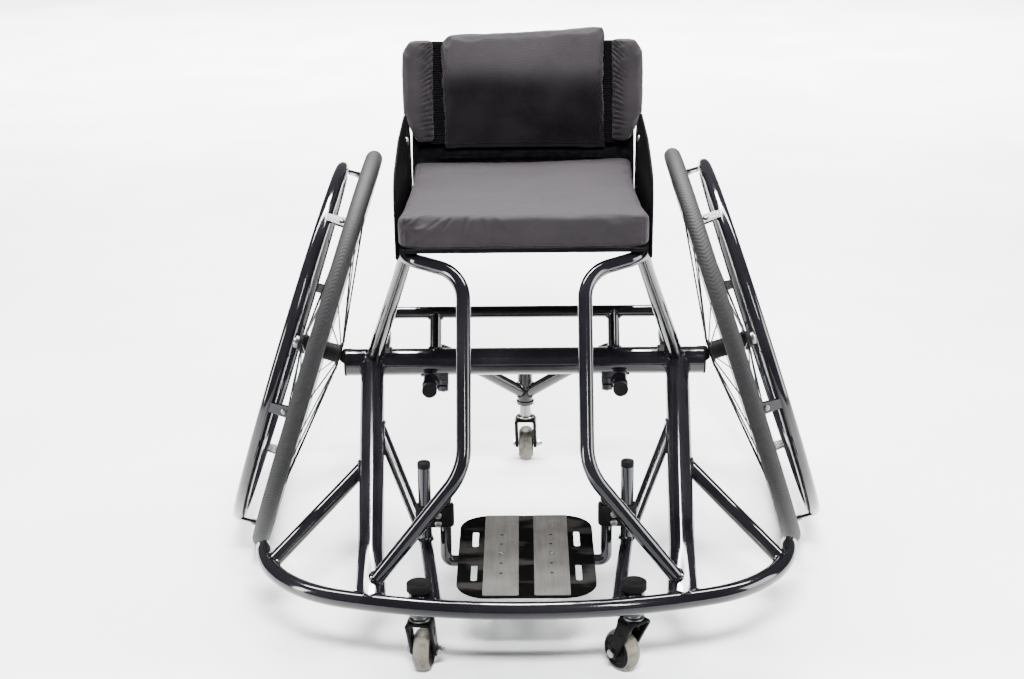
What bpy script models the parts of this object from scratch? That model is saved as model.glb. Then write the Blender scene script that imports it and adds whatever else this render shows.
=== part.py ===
"""Basketball wheelchair: welded tube frame with a wing bumper, cambered main wheels, three casters.

Metres, +Z up. The chair faces -Y, so its left side is +X. The floor is z = 0 and the origin is the
middle of the floor area that the chair covers. Sizes along Y are measured from the wheel axles.
"""

import math

import bmesh
import bpy
from mathutils import Matrix, Vector

for item in list(bpy.data.objects):
    bpy.data.objects.remove(item, do_unlink=True)

# Sides and common clearances
SIDES = (("left", 1), ("right", -1))
SEAT_GAP = 0.0003
RUNNING_GAP = 0.0004

# Main wheels: 25 inch, toed straight and leaning in at the top
WHEEL_RADIUS = 0.3045
CAMBER = math.radians(18)
TYRE_RADIUS = 0.0125
WHEEL_SEGMENTS = 36
TYRE_SIDES = 8
AXLE_ROOT_INSET = 0.029
WHEEL_OFFSET = 0.0751
RIM_WIDTH = 0.022
RIM_DEPTH = 0.0163
RIM_FLANGE = 0.0041
RIM_NOSE = 0.012
RIM_WALL = 0.0025
HANDRIM_RADIUS = 0.266
HANDRIM_TUBE = 0.0095
HANDRIM_OFFSET = 0.040
HANDRIM_SIDES = 6
TAB_COUNT = 6
TAB_WIDTH = 0.018
TAB_THICKNESS = 0.005
TAB_RISE = 0.004
HUB_INNER = 0.0356
HUB_OUTER = 0.030
HUB_FLANGE_RADIUS = 0.025
HUB_FLANGE_THICKNESS = 0.003
HUB_OUTER_FLANGE = 0.0215
HUB_BODY_RADIUS = 0.0135
HUB_END_RADIUS = 0.0115
HUB_SIDES = 16
SPOKES_PER_FLANGE = 12
SPOKE_RADIUS = 0.0012
SPOKE_SIDES = 4
SPOKE_HEAD_INSET = 0.0022

# Quick-release axles
PIN_RADIUS = 0.00635
PIN_INNER = 0.019
PIN_HEAD_RADIUS = 0.009
PIN_HEAD_LENGTH = 0.005
PIN_SIDES = 16
BUTTON_RADIUS = 0.0045
BUTTON_STAND = 0.0048
BUTTON_LENGTH = 0.0095
BUTTON_TRAVEL = 0.004

# Camber tube and its end inserts
CAMBER_TUBE_RADIUS = 0.020
CAMBER_TUBE_HALF = 0.2646
CAMBER_TUBE_SIDES = 16
INSERT_SPIGOT_RADIUS = 0.0162
INSERT_SPIGOT_LENGTH = 0.012
INSERT_FLANGE_RADIUS = 0.0205
INSERT_FLANGE_THICKNESS = 0.0027
INSERT_NOSE_RADIUS = 0.0135
LUG_X = 0.203
LUG_THICKNESS = 0.008
LUG_WIDTH = 0.024
LUG_TOP = 0.046

# Bumper: a shallow arc across the front, turned back ahead of the wheels
BUMPER_RADIUS = 0.0115
BUMPER_Y = -0.500
BUMPER_Z = 0.1125
BUMPER_ARC = 0.76
BUMPER_ARC_HALF = 0.235
BUMPER_CORNER = 0.172
BUMPER_END_TURN = math.radians(80)
BUMPER_TIP = 0.018
TUBE_SIDES = 10
BEND_STEP = math.radians(14)
SMALL_STEP = math.radians(31)

# Main tubes, from the camber tube down to the bumper
MAIN_RADIUS = 0.0172
MAIN_TOP_X = 0.2265
MAIN_FOOT_X = 0.1976
MAIN_FOOT_HALF_WIDTH = 0.0196
MAIN_FOOT_HALF_HEIGHT = 0.0118
MAIN_SQUASH_START = 0.86
MAIN_SIDES = 14

# Seat frame: side tubes that run on as the leg hoops
SEAT_TILT = math.radians(2.5)
SEAT_FRONT_Y = -0.222
SEAT_TUBE_Z = 0.4925
SEAT_TUBE_X = 0.1595
SEAT_TUBE_BACK = 0.390
SIDE_TUBE_RADIUS = 0.0095
HOOP_TOP = Vector((0.0795, -0.266, 0.4825))
HOOP_KNEE = Vector((0.0775, -0.438, 0.277))
HOOP_FOOT_Y = -0.447
CORNER_BEND = 0.042
HOOP_TOP_BEND = 0.056
HOOP_KNEE_BEND = 0.062

# Struts between the camber tube and the seat
STRUT_FOOT_RADIUS = 0.0118
STRUT_TOP_RADIUS = 0.0092
STRUT_TOP_INSET = 0.003
FRONT_STRUT_FOOT = Vector((0.2255, -0.004, 0.272))
FRONT_STRUT_TOP_REACH = 0.028
REAR_STRUT_FOOT = Vector((0.2235, 0.006, 0.272))
REAR_STRUT_TOP_REACH = 0.347
CROSS_BAR_Z = 0.331
CROSS_BAR_RADIUS = 0.0088
CROSS_POST_X = 0.133

# Wing braces and the lower rails with their footrest posts
BRACE_RADIUS = 0.010
BRACE_TOP_Y = -0.209
BRACE_FOOT_ANGLE = math.radians(67)
RAIL_RADIUS = 0.0085
RAIL_TOP_Y = -0.103
RAIL_BEND = Vector((0.1327, -0.355, 0.141))
RAIL_BEND_RADIUS = 0.080
RAIL_FOOT_X = 0.1142
POST_TOP_Z = 0.253

# Casters
CASTER_X = 0.1367
REAR_STEM_Y = 0.244
TRAIL = 0.022
SWIVELS = {"left": math.radians(38), "right": math.radians(-8), "rear": math.radians(-2)}
CASTER_RADIUS = 0.028
CASTER_WIDTH = 0.022
CASTER_SEGMENTS = 20
CASTER_HUB_RADIUS = 0.017
CASTER_HUB_HALF = 0.0120
CASTER_HUB_SIDES = 14
FORK_TOP_Z = 0.0825
FORK_THICKNESS = 0.005
FORK_HALF_WIDTH = 0.0176
FORK_HALF_LENGTH = 0.015
FORK_LEG_TOP_HALF = 0.012
FORK_LEG_END_RADIUS = 0.0085
FORK_SLOT_HALF_WIDTH = 0.0026
FORK_SLOT_LENGTH = 0.013
FORK_SLOT_TOP = 0.012
STEM_RADIUS = 0.006
STEM_COLLAR_RADIUS = 0.0085
STEM_WASHER_RADIUS = 0.0135
STEM_WASHER_HEIGHT = 0.0025
STEM_SIDES = 12
STEM_TOP_Z = 0.118
REAR_STEM_TOP_Z = 0.150
BOLT_RADIUS = 0.004
BOLT_SIDES = 10
BOLT_HEAD_RADIUS = 0.0055
BOLT_NUT_HEIGHT = 0.005
BOLT_END_LENGTH = 0.004
BOLT_HEAD_HEIGHT = 0.0035
BARREL_RADIUS = 0.0135
BARREL_BOTTOM_Z = 0.0886
BARREL_TOP_Z = 0.123
BARREL_SIDES = 16
BARREL_CAP_RADIUS = 0.0157
BARREL_CAP_HEIGHT = 0.011
REAR_BARREL_RADIUS = 0.012
REAR_BARREL_RING_RADIUS = 0.0145
REAR_BARREL_RING_HEIGHT = 0.006
REAR_BARREL_BOTTOM_Z = 0.1065
REAR_BARREL_TOP_Z = 0.166

# Anti-tip frame and the clamps that hold it under the camber tube
ANTI_TIP_X = 0.141
ANTI_TIP_Z = 0.2347
ANTI_TIP_RADIUS = 0.0097
ANTI_TIP_FRONT_Y = -0.033
ANTI_TIP_BEND_Y = 0.165
ANTI_TIP_JOIN_Z = 0.124
ANTI_TIP_BEND = 0.045
ANTI_TIP_CAP_RADIUS = 0.0113
ANTI_TIP_CAP_LENGTH = 0.0035
CLAMP_HALF_LENGTH = 0.016
CLAMP_WALL = 0.0024
CLAMP_EAR_REACH = 0.027
CLAMP_EAR_HALF_HEIGHT = 0.0095
CLAMP_SPLIT = 0.0016
CLAMP_NUT_RADIUS = 0.0065
CLAMP_NUT_HEIGHT = 0.006

# Footrest
HANGER_RADIUS = 0.0075
HANGER_X = 0.1061
HANGER_TOP_Z = 0.204
HANGER_ELBOW = 0.010
PLATE_TOP_Z = 0.123
PLATE_THICKNESS = 0.003
PLATE_HALF_WIDTH = 0.090
PLATE_FRONT_Y = -0.4815
PLATE_BACK_Y = -0.2355
PLATE_CORNER = 0.040
PLATE_SLOT_X = 0.068
PLATE_SLOT_YS = (-0.411, -0.310)
PLATE_SLOT_HALF_WIDTH = 0.004
PLATE_SLOT_LENGTH = 0.050
PLATE_HOLE_X = 0.033
PLATE_HOLE_PITCH = 0.029
PLATE_HOLES = (-2, -1, 1, 2)
PLATE_HOLE_SIDES = 6
PLATE_HOLE_RADIUS = 0.0022
STRIP_INNER_X = 0.010
STRIP_OUTER_X = 0.056
STRIP_THICKNESS = 0.0009
STRIP_INSET = 0.002
FOOT_CLAMP_BOTTOM_Z = 0.166
FOOT_CLAMP_HEIGHT = 0.0272
FOOT_CLAMP_WALL = 0.004

# Seat and back upholstery
SLING_THICKNESS = 0.0045
SLING_FRONT = 0.020
SLING_BACK_GAP = 0.004
SLING_HALF_WIDTH = 0.1645
CUSHION_HALF_WIDTH = 0.1672
CUSHION_BACK_GAP = 0.009
CUSHION_FRONT = 0.025
CUSHION_HEIGHT = 0.046
CUSHION_CORNER = 0.026
CUSHION_EDGE = 0.008
CUSHION_CROWN = 0.006
CUSHION_DRAW = 0.004
PAD_EDGE_STEPS = 2
PAD_TOP_RINGS = (0.86, 0.64, 0.38, 0.16)
BACK_LEAN = math.radians(12)
CANE_REACH = 0.370
CANE_LENGTH = 0.232
BACK_BAR_HEIGHT = 0.150
BACK_BAR_RADIUS = 0.008
BACK_SLING_THICKNESS = 0.004
BACK_SLING_BOTTOM = 0.034
BACK_SLING_TOP = 0.239
BACK_PAD_HALF_WIDTH = 0.125
BACK_PAD_BOTTOM = 0.084
BACK_PAD_TOP = 0.2515
BACK_PAD_THICKNESS = 0.030
BACK_PAD_CORNER = 0.014
BACK_PAD_EDGE = 0.008
BACK_PAD_CROWN = 0.005
BACK_PAD_DRAW = 0.002
SIDE_PAD_INNER_X = 0.133
SIDE_PAD_OUTER_X = 0.181
SIDE_PAD_LOW_X = 0.158
SIDE_PAD_BOTTOM = 0.088
SIDE_PAD_STEP = 0.142
SIDE_PAD_TOP = 0.239
SIDE_PAD_CUT = 0.018
SIDE_PAD_THICKNESS = 0.036
SIDE_PAD_CROWN = 0.005
SIDE_PAD_EDGE = 0.010
SIDE_PAD_DRAW = 0.001
SIDE_PAD_BENDS = (0.010, 0.010, 0.020, 0.006, 0.006, 0.010)

# Side guards
GUARD_THICKNESS = 0.003
GUARD_FRONT = ((-0.207, 0.483), (-0.216, 0.596), (-0.100, 0.6245), (0.045, 0.632))
GUARD_BEHIND_CANE = ((-0.0077, 0.588), (0.0153, 0.468))
GUARD_BENDS = (0.012, 0.040, 0.150, 0.080, 0.050, 0.012)

# Places that follow from the sizes above
WHEEL_CENTRE_Z = (WHEEL_RADIUS - TYRE_RADIUS) * math.cos(CAMBER) + TYRE_RADIUS
CAMBER_TUBE_Z = WHEEL_CENTRE_Z - WHEEL_OFFSET * math.sin(CAMBER)
AXLE_Y = (-BUMPER_Y + BUMPER_RADIUS - WHEEL_RADIUS) / 2
SEAT_BACKWARD = Vector((0, math.cos(SEAT_TILT), -math.sin(SEAT_TILT)))
SEAT_CORNER = Vector((SEAT_TUBE_X, SEAT_FRONT_Y, SEAT_TUBE_Z))
CANE_FOOT = SEAT_CORNER + SEAT_BACKWARD * CANE_REACH
CUSHION_DEPTH = CANE_REACH + CUSHION_FRONT - CUSHION_BACK_GAP
AXLE_ROOT_X = CAMBER_TUBE_HALF - AXLE_ROOT_INSET
FOOTREST_Y = RAIL_BEND.y
PLATE_MIDDLE_Y = (PLATE_FRONT_Y + PLATE_BACK_Y) / 2


def material(name, colour, roughness, metallic=0.0):
    """A plain Principled material with one colour."""
    made = bpy.data.materials.new(name)
    made.use_nodes = True
    shader = made.node_tree.nodes["Principled BSDF"]
    shader.inputs["Base Color"].default_value = (*colour, 1)
    shader.inputs["Roughness"].default_value = roughness
    shader.inputs["Metallic"].default_value = metallic
    made.diffuse_color = (*colour, 1)
    return made


GLOSS_BLACK = material("gloss_black_paint", (0.008, 0.008, 0.009), 0.12)
SATIN_BLACK = material("satin_black_plastic", (0.02, 0.02, 0.021), 0.55)
FORK_BLACK = material("fork_black", (0.015, 0.015, 0.016), 0.4)
GUARD_BLACK = material("guard_black", (0.01, 0.01, 0.011), 0.15)
NYLON = material("charcoal_nylon", (0.035, 0.034, 0.038), 0.75)
WEBBING = material("black_webbing", (0.012, 0.012, 0.013), 0.85)
RUBBER = material("tyre_rubber", (0.05, 0.05, 0.05), 0.7)
ALLOY = material("brushed_alloy", (0.55, 0.56, 0.58), 0.3, 1.0)
STEEL = material("zinc_steel", (0.6, 0.6, 0.6), 0.3, 1.0)
URETHANE = material("caster_urethane", (0.42, 0.39, 0.33), 0.45)
GRIP = material("grip_tape", (0.13, 0.13, 0.13), 0.9)


def empty(name, location, parent=None, rotation=(0, 0, 0)):
    """A frame of reference that pieces are parented to."""
    made = bpy.data.objects.new(name, None)
    bpy.context.scene.collection.objects.link(made)
    made.location = location
    made.rotation_euler = rotation
    made.parent = parent
    return made


CHAIR = empty("chair", (0, AXLE_Y, 0))


def place(name, bm, finish, location=(0, 0, 0), parent=None, sharp=math.radians(40)):
    """The finished mesh as an object, with its normals out and its round sides smooth."""
    bmesh.ops.recalc_face_normals(bm, faces=bm.faces)
    mesh = bpy.data.meshes.new(name)
    bm.to_mesh(mesh)
    bm.free()
    mesh.materials.append(finish)
    mesh.shade_smooth()
    mesh.set_sharp_from_angle(angle=sharp)
    made = bpy.data.objects.new(name, mesh)
    bpy.context.scene.collection.objects.link(made)
    made.location = location
    made.parent = parent or CHAIR
    return made


def as_guide(made):
    """A cutter, or a piece that is welded into another, is left out of the model."""
    made.hide_render = True
    made.display_type = "WIRE"
    return made


def combine(base, operation, others):
    """Boolean modifiers that weld other shapes on, or cut room for them."""
    for other in others:
        step = base.modifiers.new(f"{operation.lower()}_{other.name}", "BOOLEAN")
        step.operation = operation
        step.object = other
    return base


def cope(base, *rooms):
    """Trims an end to fit round the pieces it is welded to."""
    return combine(base, "DIFFERENCE", rooms)


def weld(base, *pieces):
    """Joins pieces that are welded or moulded as one."""
    return combine(base, "UNION", [as_guide(piece) for piece in pieces])


def skin(bm, rings, closed=False):
    """Faces between neighbouring rings of vertices, and caps on an open run's ends."""
    pairs = list(zip(rings, rings[1:]))
    if closed:
        pairs.append((rings[-1], rings[0]))
    else:
        bm.faces.new(rings[0])
        bm.faces.new(rings[-1])
    for low, high in pairs:
        for k in range(len(low)):
            after = (k + 1) % len(low)
            bm.faces.new((low[k], low[after], high[after], high[k]))


def bent_path(corners, bends, step=BEND_STEP):
    """The centre line of a bent tube: straight runs joined by arcs of the given radii."""
    path = [corners[0]]
    for before, corner, after, radius in zip(corners, corners[1:], corners[2:], bends):
        arrive = (corner - before).normalized()
        leave = (after - corner).normalized()
        turn = arrive.angle(leave)
        axis = arrive.cross(leave).normalized()
        inward = axis.cross(arrive)
        centre = corner - arrive * radius * math.tan(turn / 2) + inward * radius
        count = max(2, math.ceil(turn / step))
        for k in range(count + 1):
            path.append(centre - Matrix.Rotation(turn * k / count, 3, axis) @ inward * radius)
    path.append(corners[-1])
    return path


def tube(name, path, halves, finish, sides=TUBE_SIDES, across=Vector((0, 0, 1)), parent=None):
    """A rod along a path. Each of halves is its half width along the side and along `across`."""
    if not isinstance(halves, list):
        halves = [(halves, halves)] * len(path)
    bm = bmesh.new()
    rings = []
    first = path[1] - path[0]
    up = (across - across.project(first)).normalized()
    before = first.normalized()
    for k, point in enumerate(path):
        ahead = path[min(k + 1, len(path) - 1)] - path[max(k - 1, 0)]
        along = ahead.normalized()
        up = before.rotation_difference(along) @ up
        before = along
        aside = along.cross(up)
        ring = []
        for j in range(sides):
            angle = 2 * math.pi * (j + 0.5) / sides
            offset = aside * math.cos(angle) * halves[k][0] + up * math.sin(angle) * halves[k][1]
            ring.append(bm.verts.new(point - path[0] + offset))
        rings.append(ring)
    skin(bm, rings)
    return place(name, bm, finish, path[0], parent)


def turned(name, profile, finish, sides, parent, location=(0, 0, 0), bored=False):
    """A piece turned about its own Z axis from (height, radius) points. A bored profile is a loop."""
    bm = bmesh.new()
    rings = []
    for height, radius in profile:
        ring = []
        for j in range(sides):
            angle = 2 * math.pi * j / sides
            ring.append(bm.verts.new((radius * math.cos(angle), radius * math.sin(angle), height)))
        rings.append(ring)
    skin(bm, rings, closed=bored)
    return place(name, bm, finish, location, parent)


def plate(name, outline, low, high, finish, parent, normal="Z", location=(0, 0, 0)):
    """A flat piece: an outline in the two other axes, from low to high along its normal."""
    bm = bmesh.new()
    rings = []
    for level in (low, high):
        ring = []
        for first, second in outline:
            corner = {"X": (level, first, second), "Y": (first, level, second), "Z": (first, second, level)}
            ring.append(bm.verts.new(corner[normal]))
        rings.append(ring)
    skin(bm, rings)
    return place(name, bm, finish, location, parent)


def rounded(corners, bends, step=BEND_STEP):
    """A closed flat outline whose corners are rounded by the given radii."""
    points = [Vector((x, y, 0)) for x, y in corners]
    outline = []
    for k, radius in enumerate(bends):
        triple = (points[k - 1], points[k], points[(k + 1) % len(points)])
        outline.extend(bent_path(triple, (radius,), step)[1:-1])
    return [(point.x, point.y) for point in outline]


def rounded_box(low, high, radius, step=SMALL_STEP):
    """The outline of a rectangle with equal round corners."""
    corners = ((low[0], low[1]), (high[0], low[1]), (high[0], high[1]), (low[0], high[1]))
    return rounded(corners, (radius,) * 4, step)


def slot(half_width, length, turns=4):
    """The outline of a slot with round ends, its long way along the second axis."""
    straight = length / 2 - half_width
    outline = []
    for k in range(2 * turns + 2):
        end = 1 if k <= turns else -1
        angle = math.pi * (k if end > 0 else k - 1) / turns
        outline.append((half_width * math.cos(angle), end * straight + half_width * math.sin(angle)))
    return outline


def mirrored(point, side):
    """A point of the left side carried to the given side."""
    return Vector((point[0] * side, point[1], point[2]))


def both_sizes(name, path, radius, **options):
    """A tube, and the slightly larger room that its neighbours leave for it."""
    made = tube(name, path, radius, GLOSS_BLACK, **options)
    first = path[0] + (path[0] - path[1]).normalized() * SEAT_GAP
    last = path[-1] + (path[-1] - path[-2]).normalized() * SEAT_GAP
    room = tube(f"room_{name}", [first, *path[1:-1], last], radius + SEAT_GAP, GLOSS_BLACK, **options)
    return made, as_guide(room)


def bumper_half(turn_count, corner_count):
    """Points of the bumper's left half, from the middle to the tip."""
    flat_turn = math.asin(BUMPER_ARC_HALF / BUMPER_ARC)
    corner = Vector((0, BUMPER_Y + BUMPER_ARC, BUMPER_Z))
    corner += Vector((math.sin(flat_turn), -math.cos(flat_turn), 0)) * (BUMPER_ARC - BUMPER_CORNER)
    points = [bumper_at(flat_turn * k / turn_count) for k in range(turn_count)]
    for k in range(corner_count + 1):
        turn = flat_turn + (BUMPER_END_TURN - flat_turn) * k / corner_count
        points.append(corner + Vector((math.sin(turn), -math.cos(turn), 0)) * BUMPER_CORNER)
    points.append(points[-1] + Vector((math.cos(BUMPER_END_TURN), math.sin(BUMPER_END_TURN), 0)) * BUMPER_TIP)
    return points


def bumper_at(turn):
    """The point of the bumper's long arc where it has turned by an angle."""
    centre = Vector((0, BUMPER_Y + BUMPER_ARC, BUMPER_Z))
    return centre + Vector((math.sin(turn), -math.cos(turn), 0)) * BUMPER_ARC


def bumper_corner_at(turn):
    """The point of the bumper's corner arc where it has turned by an angle."""
    flat_turn = math.asin(BUMPER_ARC_HALF / BUMPER_ARC)
    middle = bumper_at(flat_turn) - Vector((math.sin(flat_turn), -math.cos(flat_turn), 0)) * BUMPER_CORNER
    return middle + Vector((math.sin(turn), -math.cos(turn), 0)) * BUMPER_CORNER


def main_axis(y):
    """The point of the left main tube's axis at a distance from the axle."""
    foot = bumper_at(math.asin(MAIN_FOOT_X / BUMPER_ARC))
    top = Vector((MAIN_TOP_X, 0, CAMBER_TUBE_Z))
    return top.lerp(foot, y / foot.y)


def build_bumper():
    """The bumper bar, and the room it needs."""
    half = bumper_half(6, 7)
    path = [mirrored(point, -1) for point in reversed(half[1:])] + half
    return both_sizes("bumper_bar", path, BUMPER_RADIUS)


def build_camber_tube():
    """The tube under the seat, with its lugs and the clamps of the anti-tip frame."""
    ends = [Vector((-CAMBER_TUBE_HALF, 0, CAMBER_TUBE_Z)), Vector((CAMBER_TUBE_HALF, 0, CAMBER_TUBE_Z))]
    made, room = both_sizes("camber_tube", ends, CAMBER_TUBE_RADIUS, sides=CAMBER_TUBE_SIDES)
    welded = []
    bores = []
    for word, side in SIDES:
        lug = slot(LUG_WIDTH / 2, 2 * LUG_TOP)
        lug = [(y, z) for y, z in lug if z > 0] + [(-LUG_WIDTH / 2, 0), (LUG_WIDTH / 2, 0)]
        inner, outer = sorted((side * (LUG_X - LUG_THICKNESS / 2), side * (LUG_X + LUG_THICKNESS / 2)))
        welded.append(plate(f"lug_{word}", lug, inner, outer, GLOSS_BLACK, CHAIR, "X", (0, 0, CAMBER_TUBE_Z)))
        welded.extend(clamp_shapes(word, side))
        centre = Vector((side * ANTI_TIP_X, 0, ANTI_TIP_Z))
        reach = Vector((0, 2 * CLAMP_HALF_LENGTH, 0))
        bore = tube(f"clamp_bore_{word}", [centre - reach, centre + reach], ANTI_TIP_RADIUS + RUNNING_GAP,
                    GLOSS_BLACK)
        split_to = side * (ANTI_TIP_X - 2 * CLAMP_EAR_REACH)
        low, high = sorted((centre.x, split_to))
        outline = [(low, -reach.y), (high, -reach.y), (high, reach.y), (low, reach.y)]
        split = plate(f"clamp_split_{word}", outline, ANTI_TIP_Z - CLAMP_SPLIT / 2, ANTI_TIP_Z + CLAMP_SPLIT / 2,
                      GLOSS_BLACK, CHAIR)
        recess = Vector((side * INSERT_SPIGOT_LENGTH, 0, 0))
        end = Vector((side * CAMBER_TUBE_HALF, 0, CAMBER_TUBE_Z))
        socket = tube(f"tube_socket_{word}", [end - recess - recess / 10, end + recess],
                      INSERT_SPIGOT_RADIUS + SEAT_GAP, GLOSS_BLACK, sides=CAMBER_TUBE_SIDES)
        bores.extend([as_guide(bore), as_guide(split), as_guide(socket)])
    weld(made, *welded)
    cope(made, *bores)
    return room


def clamp_shapes(word, side):
    """The clamp under the camber tube: a split ring, its ear with a nut, and the web above it."""
    radius = ANTI_TIP_RADIUS + CLAMP_WALL
    centre = Vector((side * ANTI_TIP_X, 0, ANTI_TIP_Z))
    reach = Vector((0, CLAMP_HALF_LENGTH, 0))
    ring = tube(f"clamp_ring_{word}", [centre - reach, centre + reach], radius, GLOSS_BLACK)
    ear_x = side * (ANTI_TIP_X - CLAMP_EAR_REACH)
    low, high = sorted((centre.x, ear_x))
    ear = plate(f"clamp_ear_{word}", rounded_box((low, -reach.y), (high, reach.y), 0.004),
                ANTI_TIP_Z - CLAMP_EAR_HALF_HEIGHT, ANTI_TIP_Z + CLAMP_EAR_HALF_HEIGHT, GLOSS_BLACK, CHAIR)
    web = plate(f"clamp_web_{word}", [(centre.x - radius, -radius), (centre.x + radius, -radius),
                                      (centre.x + radius, radius), (centre.x - radius, radius)],
                ANTI_TIP_Z, CAMBER_TUBE_Z, GLOSS_BLACK, CHAIR)
    nut_x = side * (ANTI_TIP_X - CLAMP_EAR_REACH + CLAMP_NUT_RADIUS + CLAMP_SPLIT)
    nut_top = ANTI_TIP_Z - CLAMP_EAR_HALF_HEIGHT + CLAMP_SPLIT
    nut = turned(f"clamp_nut_{word}", [(0, CLAMP_NUT_RADIUS), (-CLAMP_NUT_HEIGHT, CLAMP_NUT_RADIUS)],
                 GLOSS_BLACK, 6, CHAIR, (nut_x, 0, nut_top))
    return [ring, ear, web, nut]


def build_main_tube(word, side, rooms):
    """The large tube from the camber tube to the bumper, its foot pressed flat on the bar."""
    foot = bumper_at(math.asin(MAIN_FOOT_X / BUMPER_ARC))
    path = []
    halves = []
    for share in (0, MAIN_SQUASH_START, (1 + MAIN_SQUASH_START) / 2, 1):
        squash = max(0, (share - MAIN_SQUASH_START) / (1 - MAIN_SQUASH_START))
        path.append(mirrored(main_axis(foot.y * share), side))
        wide = MAIN_RADIUS + (MAIN_FOOT_HALF_WIDTH - MAIN_RADIUS) * squash
        high = MAIN_RADIUS + (MAIN_FOOT_HALF_HEIGHT - MAIN_RADIUS) * squash
        halves.append((wide, high))
    made = tube(f"main_tube_{word}", path, halves, GLOSS_BLACK, MAIN_SIDES)
    grown = [(wide + SEAT_GAP, high + SEAT_GAP) for wide, high in halves]
    room = as_guide(tube(f"room_main_tube_{word}", path, grown, GLOSS_BLACK, MAIN_SIDES))
    cope(made, rooms["bumper"], rooms["camber"])
    return room


def build_side_tube(word, side, main_room):
    """The seat's side tube, which runs on in front as the hoop beside the leg."""
    back = SEAT_CORNER + SEAT_BACKWARD * SEAT_TUBE_BACK
    corners = [back, SEAT_CORNER, HOOP_TOP, HOOP_KNEE, main_axis(HOOP_FOOT_Y)]
    path = [mirrored(point, side) for point in bent_path(corners, (CORNER_BEND, HOOP_TOP_BEND, HOOP_KNEE_BEND))]
    made, room = both_sizes(f"side_tube_{word}", path, SIDE_TUBE_RADIUS)
    cope(made, main_room)
    return room


def build_front_strut(word, side, rooms):
    """The tapered strut from the camber tube up to the seat's front corner."""
    top = SEAT_CORNER + SEAT_BACKWARD * FRONT_STRUT_TOP_REACH - Vector((STRUT_TOP_INSET, 0, 0))
    path = [mirrored(FRONT_STRUT_FOOT, side), mirrored(top, side)]
    halves = [(STRUT_FOOT_RADIUS, STRUT_FOOT_RADIUS), (STRUT_TOP_RADIUS, STRUT_TOP_RADIUS)]
    made = tube(f"front_strut_{word}", path, halves, GLOSS_BLACK)
    cope(made, rooms["camber"], *rooms[word])


def build_rear_struts(rooms):
    """The two rear struts, the bar between them, and the two posts under the bar."""
    pieces = []
    top = SEAT_CORNER + SEAT_BACKWARD * REAR_STRUT_TOP_REACH - Vector((STRUT_TOP_INSET, 0, 0))
    share = (CROSS_BAR_Z - REAR_STRUT_FOOT.z) / (top.z - REAR_STRUT_FOOT.z)
    join = REAR_STRUT_FOOT.lerp(top, share)
    bar = tube("rear_struts", [mirrored(join, -1), join], CROSS_BAR_RADIUS, GLOSS_BLACK)
    for word, side in SIDES:
        path = [mirrored(REAR_STRUT_FOOT, side), mirrored(top, side)]
        pieces.append(tube(f"rear_strut_{word}", path, STRUT_TOP_RADIUS, GLOSS_BLACK))
        head = Vector((side * CROSS_POST_X, join.y, join.z))
        foot = Vector((side * CROSS_POST_X, 0, CAMBER_TUBE_Z))
        pieces.append(tube(f"cross_post_{word}", [foot, head], CROSS_BAR_RADIUS, GLOSS_BLACK,
                           across=Vector((1, 0, 0))))
    weld(bar, *pieces)
    cope(bar, rooms["camber"], rooms["left"][1], rooms["right"][1])


def build_wing_brace(word, side, rooms):
    """The brace from the main tube out to the bumper's corner."""
    path = [mirrored(main_axis(BRACE_TOP_Y), side), mirrored(bumper_corner_at(BRACE_FOOT_ANGLE), side)]
    made = tube(f"wing_brace_{word}", path, BRACE_RADIUS, GLOSS_BLACK)
    cope(made, rooms["bumper"], rooms[word][0])


def build_lower_rail(word, side, rooms, barrel_room):
    """The rail from the main tube in to the bumper, with the post that carries the footrest."""
    foot = bumper_at(math.asin(RAIL_FOOT_X / BUMPER_ARC))
    corners = [main_axis(RAIL_TOP_Y), RAIL_BEND, foot]
    path = [mirrored(point, side) for point in bent_path(corners, (RAIL_BEND_RADIUS,))]
    made = tube(f"lower_rail_{word}", path, RAIL_RADIUS, GLOSS_BLACK)
    base = mirrored(RAIL_BEND, side)
    top = Vector((base.x, base.y, POST_TOP_Z))
    post = tube(f"footrest_post_{word}", [base, top], RAIL_RADIUS, GLOSS_BLACK, across=Vector((0, 1, 0)))
    weld(made, post)
    cope(made, rooms["bumper"], rooms[word][0], barrel_room)


def build_front_barrel(word, side):
    """The tube that the front caster's stem turns in, and its cap."""
    stem_y = bumper_at(math.asin(CASTER_X / BUMPER_ARC)).y + BUMPER_RADIUS + SEAT_GAP + BARREL_RADIUS
    place_at = (side * CASTER_X, stem_y, 0)
    bore = STEM_RADIUS + RUNNING_GAP
    profile = [(BARREL_BOTTOM_Z, BARREL_RADIUS), (BARREL_TOP_Z, BARREL_RADIUS), (BARREL_TOP_Z, bore),
               (BARREL_BOTTOM_Z, bore)]
    turned(f"caster_barrel_{word}", profile, GLOSS_BLACK, BARREL_SIDES, CHAIR, place_at, bored=True)
    wide = BARREL_RADIUS + SEAT_GAP
    grown = [(BARREL_BOTTOM_Z - SEAT_GAP, wide), (BARREL_TOP_Z + SEAT_GAP, wide)]
    room = as_guide(turned(f"room_barrel_{word}", grown, GLOSS_BLACK, BARREL_SIDES, CHAIR, place_at))
    under = BARREL_TOP_Z + SEAT_GAP
    top = under + BARREL_CAP_HEIGHT
    rim = BARREL_CAP_RADIUS + SEAT_GAP
    cap_room = turned(f"room_cap_{word}", [(BARREL_TOP_Z, rim), (top + SEAT_GAP, rim)], SATIN_BLACK,
                      BARREL_SIDES, CHAIR, place_at)
    weld(room, cap_room)
    cap = [(under, BARREL_CAP_RADIUS), (top - 0.002, BARREL_CAP_RADIUS), (top, BARREL_CAP_RADIUS - 0.0015)]
    turned(f"caster_cap_{word}", cap, SATIN_BLACK, BARREL_SIDES, CHAIR, place_at)
    return stem_y, room


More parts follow.
